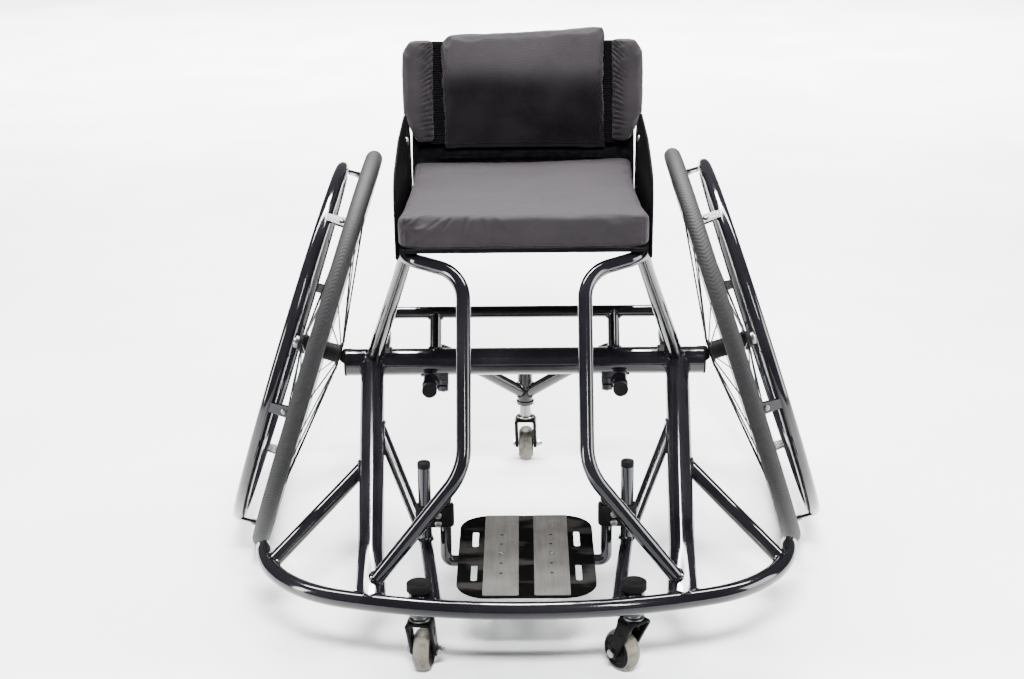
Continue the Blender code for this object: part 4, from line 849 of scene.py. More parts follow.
SEAT_BACKWARD = Vector((0, math.cos(SEAT_TILT), -math.sin(SEAT_TILT)))
SIDE_TUBE_RADIUS = 0.0095
CANE_REACH, CANE_LENGTH = 0.37, 0.232
CANE_FOOT = SEAT_CORNER + SEAT_BACKWARD * CANE_REACH
RAIL_RADIUS, RAIL_BEND, RAIL_BEND_RADIUS = 0.0085, Vector((0.1327, -0.355, 0.141)), 0.08
POST_TOP_Z = 0.253


def outward_at(turn):
    """The way out from an arc's centre, turned from straight ahead."""
    return Vector((math.sin(turn), -math.cos(turn), 0))


def around_bumper(turn):
    return Vector((0, BUMPER_Y, BUMPER_Z)) + Vector((0, BUMPER_ARC, 0)) + outward_at(turn) * BUMPER_ARC


def bumper_at(x):
    """The point of the bumper's long arc at a distance from the chair's middle."""
    return around_bumper(math.asin(x / BUMPER_ARC))


def bumper_corner_at(turn):
    middle = around_bumper(FLAT_TURN) - outward_at(FLAT_TURN) * BUMPER_CORNER
    return middle + outward_at(turn) * BUMPER_CORNER


def main_axis(y):
    foot = bumper_at(MAIN_FOOT_X)
    return Vector((MAIN_ROOT_X, 0, CAMBER_TUBE_Z)).lerp(foot, y / foot.y)


def bumper_path():
    half = [bumper_at(BUMPER_FLAT_HALF * math.sin(FLAT_TURN * k / 14) / math.sin(FLAT_TURN)) for k in range(14)]
    turns = [FLAT_TURN + (BUMPER_END_TURN - FLAT_TURN) * k / 18 for k in range(19)]
    half += [bumper_corner_at(turn) for turn in turns]
    half.append(half[-1] + Vector((math.cos(BUMPER_END_TURN), math.sin(BUMPER_END_TURN), 0)) * BUMPER_TIP)
    return on_side(reversed(half[1:]), -1) + half


# %% The bumper, the camber tube and the main tubes
Piece().tube(bumper_path(), BUMPER_RADIUS, 36, (True, True)).done("bumper", GLOSS, "frame", "bumper_bar")


def lofted_main_tube(side):
    """A round tube whose foot is pressed to a flat ellipse."""
    foot = bumper_at(MAIN_FOOT_X)
    piece = Piece()
    along = (foot - main_axis(0)).normalized()
    up = (UP - UP.project(along)).normalized()
    aside = along.cross(up)
    rings = []
    for share in spread(0, MAIN_SQUASH_START, 6)[:-1] + spread(MAIN_SQUASH_START, 1, 18):
        press = smooth_step(share, MAIN_SQUASH_START, 1)
        wide = MAIN_RADIUS + (MAIN_FOOT_HALVES[0] - MAIN_RADIUS) * press
        high = MAIN_RADIUS + (MAIN_FOOT_HALVES[1] - MAIN_RADIUS) * press
        middle = main_axis(foot.y * share)
        turns = [math.tau * j / MAIN_SIDES for j in range(MAIN_SIDES)]
        skin = [middle + aside * math.cos(angle) * wide + up * math.sin(angle) * high for angle in turns]
        rings.append([piece.bm.verts.new(point) for point in on_side(skin, side)])
    return piece.skin(rings)


for word, side in SIDES:
    lofted_main_tube(side).done(f"main_tube_smooth_{word}", GLOSS, "frame", f"main_tube_{word}")

# %% The seat tubes that run on as hoops, the struts, braces and rails
STRUT_FOOT, REAR_STRUT_FOOT = Vector((0.2255, -0.004, 0.272)), Vector((0.2235, 0.006, 0.272))
STRUT_INSET = Vector((0.003, 0, 0))
STRUT_TOP = SEAT_CORNER + SEAT_BACKWARD * 0.028 - STRUT_INSET
REAR_STRUT_TOP = SEAT_CORNER + SEAT_BACKWARD * 0.347 - STRUT_INSET
STRUT_RADII = (0.0118, 0.0092)
CROSS_BAR_RADIUS, CROSS_POST_X, CROSS_BAR_Z = 0.0088, 0.133, 0.331
CROSS_SHARE = (CROSS_BAR_Z - REAR_STRUT_FOOT.z) / (REAR_STRUT_TOP.z - REAR_STRUT_FOOT.z)
CROSS_JOIN = REAR_STRUT_FOOT.lerp(REAR_STRUT_TOP, CROSS_SHARE)
HOOP_TOP, HOOP_KNEE = Vector((0.0795, -0.266, 0.4825)), Vector((0.0775, -0.438, 0.277))
HOOP_FOOT = main_axis(-0.447)
BRACE_TOP, BRACE_FOOT, BRACE_RADIUS = main_axis(-0.209), bumper_corner_at(BRACE_TURN), 0.01
RAIL_FOOT_X = 0.1142
RAIL_TOP, RAIL_FOOT = main_axis(-0.103), bumper_at(RAIL_FOOT_X)

hoop_corners = [SEAT_CORNER + SEAT_BACKWARD * 0.39, SEAT_CORNER, HOOP_TOP, HOOP_KNEE, HOOP_FOOT]
rail_line = bent([RAIL_TOP, RAIL_BEND, RAIL_FOOT], (RAIL_BEND_RADIUS,))
post_line = [RAIL_BEND, Vector((*RAIL_BEND.xy, POST_TOP_Z))]
side_tubes = (
    ("seat_tube_and_hoop", "side_tube", [bent(hoop_corners, (0.042, 0.056, 0.062))], SIDE_TUBE_RADIUS, True),
    ("front_strut_smooth", "front_strut", [[STRUT_FOOT, STRUT_TOP]], STRUT_RADII, False),
    ("wing_brace_smooth", "wing_brace", [[BRACE_TOP, BRACE_FOOT]], BRACE_RADIUS, False),
    ("rail_and_post", "lower_rail", [rail_line, post_line], RAIL_RADIUS, False))
for word, side in SIDES:
    for name, node, lines, radius, plugged in side_tubes:
        piece = Piece()
        for line in lines:
            piece.tube(on_side(line, side), radius, 32, (plugged, False))
        piece.done(f"{name}_{word}", GLOSS, "frame", f"{node}_{word}")

rear = Piece().tube([sided(CROSS_JOIN, -1), CROSS_JOIN], CROSS_BAR_RADIUS)
for word, side in SIDES:
    rear.tube(on_side((REAR_STRUT_FOOT, REAR_STRUT_TOP), side), STRUT_RADII[1])
    post_x = side * CROSS_POST_X
    rear.tube([Vector((post_x, 0, CAMBER_TUBE_Z)), Vector((post_x, *CROSS_JOIN.yz))], CROSS_BAR_RADIUS)
rear.done("rear_struts_smooth", GLOSS, "frame", "rear_struts")

# %% The canes of the back, with their bar
BACK = at(0, CANE_FOOT.y, CANE_FOOT.z) @ Matrix.Rotation(-BACK_LEAN, 4, "X")
BACK_BAR_RADIUS, BACK_BAR_HEIGHT, CANE_RADIUS, CANE_X = 0.008, 0.15, 0.0092, 0.1595
canes = Piece(BACK)
canes.tube([(-CANE_X, 0, BACK_BAR_HEIGHT), (CANE_X, 0, BACK_BAR_HEIGHT)], BACK_BAR_RADIUS)
for word, side in SIDES:
    canes.tube([(side * CANE_X, 0, 0), (side * CANE_X, 0, CANE_LENGTH)], CANE_RADIUS, 32, (False, True))
canes.done("back_canes", GLOSS, "frame", "back_frame")

# %% [markdown]
# ## Lugs, clamps and end plugs
#
# Two small lugs stand on the camber tube, and below it two split clamps hold the anti-tip frame. The clamp is a
# ring with an ear, a screw pulls the split together, and a web joins it to the tube. All edges of such milled
# pieces are broken by a small bevel, which catches a thin line of light, so every plate here is beveled too.

# %% The camber tube with its lugs and the two split clamps
ANTI_TIP_X, ANTI_TIP_Z, ANTI_TIP_RADIUS = 0.141, 0.2347, 0.0097
CLAMP_HALF_LENGTH, CLAMP_RADIUS, CLAMP_EAR_REACH, CLAMP_EAR_HALF = 0.016, 0.0121, 0.027, 0.0095
LUG_X, LUG_HALF, LUG_WIDTH, LUG_TOP = 0.203, 0.004, 0.024, 0.046
lug_ends, clamp_nuts = Piece(), Piece()
camber = Piece().tube([(-CAMBER_TUBE_HALF, 0, CAMBER_TUBE_Z), (CAMBER_TUBE_HALF, 0, CAMBER_TUBE_Z)],
    CAMBER_TUBE_RADIUS, 48)
for word, side in SIDES:
    shape = [(y, z) for y, z in slot_outline(LUG_WIDTH / 2, 2 * LUG_TOP) if z > 0]
    shape += [(-LUG_WIDTH / 2, 0), (LUG_WIDTH / 2, 0)]
    at_lug = at(0, 0, CAMBER_TUBE_Z)
    camber.plate(shape, side * LUG_X - LUG_HALF, side * LUG_X + LUG_HALF, "X", at_lug, 0.0008,
        [circle_outline(0.0032, (0, LUG_TOP - 0.012))])
    at_clamp = at(side * ANTI_TIP_X, 0, ANTI_TIP_Z)
    ring = [(-CLAMP_HALF_LENGTH, CLAMP_RADIUS - 0.001), (-CLAMP_HALF_LENGTH + 0.001, CLAMP_RADIUS),
            (CLAMP_HALF_LENGTH - 0.001, CLAMP_RADIUS), (CLAMP_HALF_LENGTH, CLAMP_RADIUS - 0.001),
            (CLAMP_HALF_LENGTH, ANTI_TIP_RADIUS + 0.0004), (-CLAMP_HALF_LENGTH, ANTI_TIP_RADIUS + 0.0004)]
    camber.turned(ring, 36, at_clamp @ upright_on((0, 1, 0)), loop=True)
    for low, high in ((-CLAMP_EAR_HALF, -0.0009), (0.0009, CLAMP_EAR_HALF)):
        near, far = sorted((-side * (ANTI_TIP_RADIUS + 0.0012), -side * CLAMP_EAR_REACH))
        camber.plate(rounded_box((near, -CLAMP_HALF_LENGTH), (far, CLAMP_HALF_LENGTH), 0.0034), low, high, "Z",
            at_clamp, 0.0006)
    near, far = sorted((side * 0.0092, -side * (CLAMP_EAR_REACH + 0.0006)))
    camber.plate(rounded_box((near, 0.0002), (far, CAMBER_TUBE_Z - ANTI_TIP_Z - 0.01), 0.003),
        -CLAMP_HALF_LENGTH + 0.0004, CLAMP_HALF_LENGTH - 0.0004, "Y", at_clamp, 0.0008)
    tip = [(0.0128, 0.032), (0.0128, LUG_TOP - 0.005), (0.0092, LUG_TOP + 0.0006), (-0.0092, LUG_TOP + 0.0006),
           (-0.0128, LUG_TOP - 0.005), (-0.0128, 0.032)]
    lug_ends.plate(rounded(tip, (0.001, 0.004, 0.004, 0.004, 0.004, 0.001)), side * LUG_X - LUG_HALF - 0.0008,
        side * LUG_X + LUG_HALF + 0.0008, "X", at_lug, 0.001)
    under = ANTI_TIP_Z - CLAMP_EAR_HALF
    at_nut = at(side * (ANTI_TIP_X - CLAMP_EAR_REACH + 0.0081), 0, 0)
    clamp_nuts.plate(circle_outline(0.0058, count=6), under - 0.0042, under + 0.0002, "Z", at_nut, 0.0006)
    clamp_nuts.turned([(under - 0.0062, 0.0004), (under - 0.0062, 0.0026), (under - 0.004, 0.0029)], 20, at_nut)
camber.done("camber_tube_smooth", GLOSS, "frame", "camber_tube")
lug_ends.done("lug_ends", DULL_ALLOY, "frame")
clamp_nuts.done("anti_tip_clamp_nuts", ZINC, "frame")

# %% Camber inserts in the tube's ends
PIN_RADIUS, PIN_HEAD_RADIUS, HUB_INNER = 0.00635, 0.009, 0.0356
for word, side in SIDES:
    axis = Vector((side * math.cos(CAMBER), 0, math.sin(CAMBER)))
    root = Vector((side * AXLE_ROOT_X, 0, CAMBER_TUBE_Z))
    end = at(side * CAMBER_TUBE_HALF, 0, CAMBER_TUBE_Z) @ upright_on((side, 0, 0))
    insert = Piece().turned([(-0.012, 0.016), (0.0002, 0.0162), (0.0003, 0.0205), (0.0024, 0.0205), (0.003, 0.0199),
        (0.003, 0.015)], 48, end)
    nose = at(*root) @ upright_on(axis)
    stop = WHEEL_OFFSET - HUB_INNER - 0.0004
    insert.turned([(0.026, 0.0135), (stop - 0.004, 0.0108), (stop - 0.0008, PIN_HEAD_RADIUS + 0.0004), (stop, 0.0086),
        (stop, PIN_RADIUS + 0.0003), (stop - 0.004, PIN_RADIUS + 0.0003)], 36, nose)
    insert.done(f"camber_insert_{word}", BLACK_PLASTIC, "frame", f"axle_insert_{word}")

# %% Black caps on the front barrels and the footrest posts
CASTER_X, BARREL_RADIUS, BARREL_BORE, BARREL_BOTTOM_Z, BARREL_TOP_Z = 0.1367, 0.0135, 0.0064, 0.0886, 0.123
STEM_Y = bumper_at(CASTER_X).y + BUMPER_RADIUS + 0.0003 + BARREL_RADIUS
CAP_RADIUS, CAP_HEIGHT = 0.0157, 0.011
for word, side in SIDES:
    at_stem = at(side * CASTER_X, STEM_Y, 0)
    barrel = Piece(at_stem).turned([(BARREL_BOTTOM_Z, BARREL_BORE), (BARREL_BOTTOM_Z, BARREL_RADIUS - 0.0008),
        (BARREL_BOTTOM_Z + 0.0008, BARREL_RADIUS), (BARREL_TOP_Z - 0.0006, BARREL_RADIUS),
        (BARREL_TOP_Z, BARREL_RADIUS - 0.0006), (BARREL_TOP_Z, BARREL_BORE)], 40, None, True)
    barrel.done(f"barrel_smooth_{word}", GLOSS, "frame", f"caster_barrel_{word}")
    under = BARREL_TOP_Z + 0.0003
    top = under + CAP_HEIGHT
    cap = Piece(at_stem).turned([(under, CAP_RADIUS - 0.0004), (under + 0.0006, CAP_RADIUS + 0.0003),
        (top - 0.0017, CAP_RADIUS + 0.0003), (top - 0.0009, CAP_RADIUS), (top - 0.0003, CAP_RADIUS - 0.0007),
        (top, CAP_RADIUS - 0.0018), (top - 0.0001, CAP_RADIUS - 0.0028), (top - 0.0006, CAP_RADIUS - 0.0034),
        (top - 0.0004, 0.006), (top - 0.0003, 0.0004)], 44)
    cap.done(f"barrel_cap_{word}", BLACK_PLASTIC, "frame", f"caster_cap_{word}")
    at_post = at(side * RAIL_BEND.x, RAIL_BEND.y, POST_TOP_Z)
    plug = Piece(at_post).turned([(-0.006, RAIL_RADIUS + 0.0001), (-0.006, RAIL_RADIUS + 0.0002),
        (0.0004, RAIL_RADIUS + 0.0002), (0.0014, RAIL_RADIUS - 0.0004), (0.002, RAIL_RADIUS - 0.0018),
        (0.0022, 0.0004)], 36)
    plug.done(f"post_plug_{word}", BLACK_PLASTIC, "frame")
print("caps and inserts done")

# %% [markdown]
# ## The main wheels
#
# Each wheel leans in at the top by 18 degrees. It is turned about its own axle first and then set in its place, so
# all its sections can be written as on a lathe: a height along the axle and a radius. The tyre carries a UV map that
# goes once round it, because its fine tread follows the wheel and not the room.

# %% Where the wheels stand
HUB_PLACE = {}
for word, side in SIDES:
    axis = Vector((side * math.cos(CAMBER), 0, math.sin(CAMBER)))
    centre = Vector((side * AXLE_ROOT_X, 0, CAMBER_TUBE_Z)) + axis * WHEEL_OFFSET
    HUB_PLACE[word] = at(*centre) @ Matrix.Rotation(side * (math.pi / 2 - CAMBER), 4, "Y")

TYRE_MIDDLE = WHEEL_RADIUS - TYRE_RADIUS
RIM_BED = TYRE_MIDDLE - TYRE_RADIUS * math.cos(CAMBER) - 0.0003
RIM_NOSE_RADIUS, RIM_FLANGE_RADIUS = RIM_BED - 0.0163, RIM_BED + 0.0041
WHEEL_STEPS, TYRE_SIDES = 160, 26


# %% Tyre with a UV map that runs round it
def build_tyre(word):
    piece = Piece(HUB_PLACE[word])
    wound = piece.bm.loops.layers.uv.new("wound")
    grid = []
    for j in range(WHEEL_STEPS):
        turn = math.tau * j / WHEEL_STEPS
        ring = []
        for k in range(TYRE_SIDES):
            angle = math.tau * k / TYRE_SIDES
            radius = TYRE_MIDDLE - TYRE_RADIUS * math.cos(angle)
            height = TYRE_RADIUS * math.sin(angle) * 0.985
            ring.append(piece.bm.verts.new((radius * math.cos(turn), radius * math.sin(turn), height)))
        grid.append(ring)
    for j in range(WHEEL_STEPS):
        for k in range(TYRE_SIDES):
            corners = ((j, k), (j + 1, k), (j + 1, k + 1), (j, k + 1))
            face = piece.bm.faces.new([grid[a % WHEEL_STEPS][b % TYRE_SIDES] for a, b in corners])
            for loop, (a, b) in zip(face.loops, corners):
                loop[wound].uv = (a / WHEEL_STEPS, b / TYRE_SIDES)
    piece.done(f"tyre_smooth_{word}", TYRE_RUBBER, f"wheel_{word}", f"tyre_{word}", angle=60)


# %% Rim, spokes, nipples and valve
VALVE_ANGLE = math.radians(22.5)


def build_rim(word):
    nose, bed, flange = RIM_NOSE_RADIUS, RIM_BED, RIM_FLANGE_RADIUS
    half = [(0.0084, bed), (0.009, flange - 0.0004), (0.0096, flange), (0.0106, flange - 0.0001),
            (0.011, flange - 0.0008), (0.0104, flange - 0.006), (0.0068, nose + 0.0024), (0.0058, nose + 0.001),
            (0.004, nose + 0.0002), (0.0018, nose)]
    rim = Piece(HUB_PLACE[word]).turned(both_sides(half), WHEEL_STEPS, None, True)
    rim.done(f"rim_smooth_{word}", GLOSS, f"wheel_{word}", f"rim_{word}")
    at_valve = (Matrix.Rotation(VALVE_ANGLE, 4, "Z") @ at(nose + 0.001, 0, 0) @ Matrix.Rotation(-math.pi / 2, 4, "Y"))
    valve = Piece(HUB_PLACE[word]).turned([(0, 0.0036), (0.0016, 0.0036), (0.002, 0.0028), (0.022, 0.0028),
        (0.0224, 0.0034), (0.032, 0.0034), (0.0332, 0.0026), (0.0336, 0.0004)], 20, at_valve)
    valve.done(f"tyre_valve_{word}", BLACK_PLASTIC, f"wheel_{word}")


HUB_INNER_FLANGE, HUB_OUTER_FLANGE, HUB_FLANGE_RADIUS = -HUB_INNER, 0.0215, 0.025
HUB_BODY_RADIUS, HUB_BORE = 0.0135, 0.00675
SPOKE_COUNT, SPOKE_RADIUS, NIPPLE_RADIUS, ELBOW_RADIUS = 12, 0.0011, 0.0022, 0.0019
NIPPLE_LENGTH, ELBOW_LENGTH, SPOKE_SLANT = 0.012, 0.0016, 0.0035


def build_hub(word):
    """The hub's turned body and both rows of spokes, which are one node in the solids."""
    low, high = HUB_INNER_FLANGE, HUB_OUTER_FLANGE
    wide, body, bore = HUB_FLANGE_RADIUS, HUB_BODY_RADIUS, HUB_BORE
    profile = [(low, bore), (low, 0.0118), (low + 0.0006, 0.0125), (low + 0.0006, wide - 0.0006), (low + 0.0011, wide),
        (low + 0.0026, wide), (low + 0.0031, wide - 0.0006), (low + 0.0034, body + 0.005),
        (low + 0.0048, body + 0.0016), (low + 0.0075, body), (high - 0.0045, body), (high - 0.0018, body + 0.0016),
        (high - 0.0004, body + 0.005), (high, wide - 0.0006), (high + 0.0005, wide), (high + 0.0022, wide),
        (high + 0.0028, wide - 0.0006), (high + 0.0031, 0.0142), (high + 0.0042, 0.0128), (0.0294, 0.0116),
        (0.03, 0.011), (0.03, bore)]
    hub = Piece(HUB_PLACE[word]).turned(profile, 56, None, True)
    hub.done(f"hub_turned_{word}", BLACK_PLASTIC, f"wheel_{word}", f"hub_{word}")
    spokes = Piece(HUB_PLACE[word])
    for height, foot, phase in ((low + 0.0018, -SPOKE_SLANT, 0.0), (high + 0.0013, SPOKE_SLANT, 0.5)):
        head = Vector((wide - 0.003, 0.0, height))
        tip = Vector((RIM_NOSE_RADIUS + 0.0006, 0.0, foot))
        way = (tip - head).normalized()
        nipple, elbow = tip - way * NIPPLE_LENGTH, head - way * ELBOW_LENGTH
        for start, end, thick in ((head, tip, SPOKE_RADIUS), (nipple, tip, NIPPLE_RADIUS),
                (elbow, head, ELBOW_RADIUS)):
            spokes.add(SPOKES.grow(bare_path([[head]]), Count=SPOKE_COUNT, Start=tuple(start), End=tuple(end),
                Thickness=thick, Phase=phase))
    spokes.done(f"spokes_{word}", FORK_PAINT, f"wheel_{word}")


# %% Push ring with its six tabs
HANDRIM_RADIUS, HANDRIM_TUBE, HANDRIM_OFFSET = 0.266, 0.0095, 0.04
TAB_COUNT, TAB_MIDDLE, TAB_FOOT, TAB_BOLT_HEIGHT = 6, 0.2725, 0.0094, 0.0165


def build_handrim(word):
    ring = Piece(HUB_PLACE[word])
    section = [(h, r) for r, h in circle_outline(HANDRIM_TUBE, (HANDRIM_RADIUS, HANDRIM_OFFSET), 26)]
    ring.turned(section, WHEEL_STEPS, None, True)
    bolts = []
    for k in range(TAB_COUNT):
        spin = Matrix.Rotation(math.tau * (k + 0.5) / TAB_COUNT, 4, "Z")
        outline = rounded([(-0.009, TAB_FOOT), (0.009, TAB_FOOT), (0.0074, HANDRIM_OFFSET - 0.006),
            (0.0074, HANDRIM_OFFSET), (-0.0074, HANDRIM_OFFSET), (-0.0074, HANDRIM_OFFSET - 0.006)],
            (0.002, 0.002, 0.004, 0.001, 0.001, 0.004))
        ring.plate(outline, TAB_MIDDLE - 0.0022, TAB_MIDDLE + 0.0022, "X", spin, 0.0008)
        for out in (1, -1):
            place = spin @ Vector((TAB_MIDDLE + out * 0.0021, 0, TAB_BOLT_HEIGHT))
            bolts.append((place, out * (spin @ Vector((1, 0, 0)))))
    ring.done(f"push_ring_{word}", GLOSS, f"wheel_{word}", f"handrim_{word}")
    head = [(0, 0.0042), (0.0009, 0.0041), (0.0019, 0.0031), (0.0024, 0.0017), (0.0016, 0.0014), (0.0016, 0.0002)]
    fasteners(f"push_ring_bolts_{word}", head, 20, bolts, f"wheel_{word}", HUB_PLACE[word])


# %% Quick-release pin and its button
BUTTON_STAND, BUTTON_LENGTH, PIN_SOCKET_RADIUS = 0.0048, 0.0095, 0.0049


def build_pin(word):
    inner, head = 0.019 - WHEEL_OFFSET, 0.0304
    top = head + 0.005
    stand = top + BUTTON_STAND
    floor = stand - BUTTON_LENGTH - 0.0044
    pin = Piece(HUB_PLACE[word]).turned([
        (inner, 0.0004), (inner, 0.0051), (inner + 0.003, PIN_RADIUS), (head, PIN_RADIUS),
        (head, PIN_HEAD_RADIUS - 0.0005), (head + 0.0005, PIN_HEAD_RADIUS), (top - 0.0009, PIN_HEAD_RADIUS),
        (top, PIN_HEAD_RADIUS - 0.0009), (top, PIN_SOCKET_RADIUS + 0.0003), (top - 0.0003, PIN_SOCKET_RADIUS),
        (floor, PIN_SOCKET_RADIUS), (floor, 0.0004)], 40)
    pin.done(f"release_pin_{word}", ZINC, "frame", f"axle_pin_{word}")
    under = stand - BUTTON_LENGTH
    button = Piece(HUB_PLACE[word]).turned([
        (under, 0.0004), (under, 0.0045), (stand - 0.001, 0.0045), (stand - 0.0003, 0.0041), (stand, 0.0033),
        (stand - 0.0003, 0.0022), (stand - 0.0005, 0.0004)], 32)
    button.done(f"button_turned_{word}", ALLOY, f"button_{word}", f"release_button_{word}")


for word, side in SIDES:
    for build in (build_tyre, build_rim, build_hub, build_handrim, build_pin):
        build(word)
print("wheels done, centre height", round(HUB_PLACE["left"].translation.z, 4))

# %% [markdown]
# ## Casters
#
# A caster fork is one strip of metal bent into a U, with its legs swept back so that the wheel trails the stem. The
# strip is lofted: at each place along the U there is a small cross section with broken corners, whose width follows
# the side view of the leg down to the round end at the bolt. The slots in the legs are then cut out.

# %% Sizes of the casters
CASTER_TRAIL, CASTER_RADIUS = 0.022, 0.028
FORK_TOP_Z, FORK_THICK, FORK_HALF_WIDTH, FORK_CORNER, FORK_END_RADIUS = 0.0825, 0.005, 0.0176, 0.0075, 0.0085
CROWN_HALF, LEG_HALF = 0.015, 0.013
SWIVELS = {"left": math.radians(38), "right": math.radians(-8), "rear": math.radians(-2)}
REAR_STEM_Y, REAR_BARREL_BOTTOM_Z, REAR_BARREL_RADIUS = 0.244, 0.1065, 0.012
CASTER_AT = {"left": (CASTER_X, STEM_Y, 0), "right": (-CASTER_X, STEM_Y, 0), "rear": (0, REAR_STEM_Y, 0)}


# %% A fork bent from one strip
def fork_stations():
    """Places along half of the U, from the crown's middle down to the leg's round end."""
    half = FORK_THICK / 2
    stations = [(Vector((0, 0, FORK_TOP_Z - half)), UP, -CROWN_HALF, CROWN_HALF)]
    top = FORK_TOP_Z - FORK_CORNER
    bend = Vector((FORK_HALF_WIDTH - FORK_CORNER, 0, top))
    for k in range(9):
        angle = math.pi / 2 * k / 8
        out = Vector((math.sin(angle), 0, math.cos(angle)))
        wide = CROWN_HALF - (CROWN_HALF - LEG_HALF) * k / 8
        stations.append((bend + out * (FORK_CORNER - half), out, -wide, wide))
    outward = Vector((1, 0, 0))
    for z in spread(top, CASTER_RADIUS, 5)[1:]:
        share = (top - z) / (top - CASTER_RADIUS)
        stations.append((Vector((FORK_HALF_WIDTH - half, 0, z)), outward, -LEG_HALF + 0.0265 * share,
            LEG_HALF + 0.0175 * share))
    for k in range(1, 10):
        angle = math.radians(9 * k)
        place = Vector((FORK_HALF_WIDTH - half, 0, CASTER_RADIUS - FORK_END_RADIUS * math.sin(angle)))
        wide = FORK_END_RADIUS * math.cos(angle)
        stations.append((place, outward, CASTER_TRAIL - wide, CASTER_TRAIL + wide))
    return stations


def fork_mesh():
    half = FORK_THICK / 2
    stations = fork_stations()
    mirror = [(Vector((-p.x, p.y, p.z)), Vector((-n.x, n.y, n.z)), a, b) for p, n, a, b in reversed(stations[1:])]
    piece = Piece()
    rings = []
    for point, out, front, back in mirror + stations:
        cut = min(0.0009, (back - front) / 4)
        section = [(-half + cut, front), (half - cut, front), (half, front + cut), (half, back - cut),
                   (half - cut, back), (-half + cut, back), (-half, back - cut), (-half, front + cut)]
        rings.append([piece.bm.verts.new(point + out * a + Vector((0, b, 0))) for a, b in section])
    return piece.skin(rings).plain()


def cut_out(mesh, cutters):
    """The mesh with room cut for each cutter mesh."""
    base = helper_with(mesh)
    helpers = [helper_with(shape) for shape in cutters]
    for helper in helpers:
        step = base.modifiers.new("cut", "BOOLEAN")
        step.operation, step.solver, step.object = "DIFFERENCE", "EXACT", helper
    made = finished(base)
    for helper in helpers:
        bpy.data.objects.remove(helper, do_unlink=True)
    return made


# %% One caster: fork, stem, wheel and bolt
def build_caster(word, barrel_bottom, stem_top):
    swivel = at(*CASTER_AT[word]) @ Matrix.Rotation(SWIVELS[word], 4, "Z")
    at_axle = at(0, CASTER_TRAIL, CASTER_RADIUS) @ Matrix.Rotation(math.pi / 2, 4, "Y")
    slots = Piece().plate(slot_outline(0.0026, 0.013, (0.006, 0.064)), -0.03, 0.03, "X", None, 0).plain()
    bolt_hole = Piece().turned([(-0.03, 0.0043), (0.03, 0.0043)], 24, at_axle).plain()
    fork = Piece(swivel).add(cut_out(fork_mesh(), [slots, bolt_hole]))
    fork.done(f"fork_bent_{word}", FORK_PAINT, f"caster_{word}", f"caster_fork_{word}", angle=28)
    collar = barrel_bottom - 0.0005
    stem = Piece(swivel).turned([(FORK_TOP_Z - 0.001, 0.0004), (FORK_TOP_Z - 0.001, 0.0128),
        (FORK_TOP_Z + 0.0004, 0.0134), (FORK_TOP_Z + 0.0019, 0.0134), (FORK_TOP_Z + 0.0025, 0.0126),
        (FORK_TOP_Z + 0.0025, 0.0092), (collar - 0.0004, 0.0085), (collar, 0.0078), (collar, 0.006),
        (stem_top, 0.0058), (stem_top, 0.0004)], 36)
    stem.done(f"caster_stem_{word}", ZINC, f"caster_{word}")
    axle = swivel @ at_axle
    head = FORK_HALF_WIDTH + 0.0003
    bolt = Piece(axle).turned([(-head - 0.0001, 0.0004), (-head, 0.0039), (head + 0.0085, 0.0039),
        (head + 0.0092, 0.0032), (head + 0.0092, 0.0004)], 24)
    for start, thick in ((-head - 0.0036, 0.0036), (head + 0.0008, 0.0042)):
        bolt.plate(circle_outline(0.0062, count=6), start, start + thick, "Z", None, 0.0005)
    bolt.turned([(head, 0.0041), (head, 0.0072), (head + 0.0008, 0.0072), (head + 0.0008, 0.0041)], 28, None, True)
    bolt.done(f"caster_bolt_hex_{word}", ZINC, f"caster_{word}", f"caster_bolt_{word}", angle=25)
    build_caster_wheel(word, axle)


def build_caster_wheel(word, axle):
    bore = 0.0044
    half = [(0.012, bore), (0.012, 0.0066), (0.0116, 0.0072), (0.0078, 0.0082), (0.0072, 0.009), (0.007, 0.0126),
            (0.0074, 0.0136), (0.0084, 0.015), (0.0088, 0.0169), (0.0112, 0.0194), (0.0114, 0.0212), (0.0106, 0.0228),
            (0.0101, 0.0228), (0.0098, 0.017)]
    hub = Piece(axle).turned(both_sides(half), 48, None, True)
    hub.done(f"caster_hub_turned_{word}", BLACK_PLASTIC, f"caster_wheel_{word}", f"caster_hub_{word}")
    half = [(0.0089, 0.0169), (0.0094, 0.0176), (0.0108, 0.0196), (0.0109, 0.0205), (0.0106, 0.0222), (0.0098, 0.0238),
            (0.0086, 0.0252), (0.007, 0.0264), (0.005, 0.0273), (0.0026, 0.0278)]
    tyre = Piece(axle).turned(both_sides(half, [(0, CASTER_RADIUS)]), 72, None, True)
    tyre.done(f"caster_tyre_smooth_{word}", URETHANE, f"caster_wheel_{word}", f"caster_tyre_{word}", angle=50)


FRONT_STEM_TOP_Z, REAR_STEM_TOP_Z = 0.118, 0.15
for word, side in SIDES:
    build_caster(word, BARREL_BOTTOM_Z, FRONT_STEM_TOP_Z)
build_caster("rear", REAR_BARREL_BOTTOM_Z, REAR_STEM_TOP_Z)
print("casters done")

# %% [markdown]
# ## The anti-tip frame
#
# Two tubes slide in the clamps under the camber tube. Behind, they bend in and down to the rear caster's barrel. All
# of it moves with the body anti_tip, so its weld beads are kept apart from those of the frame.

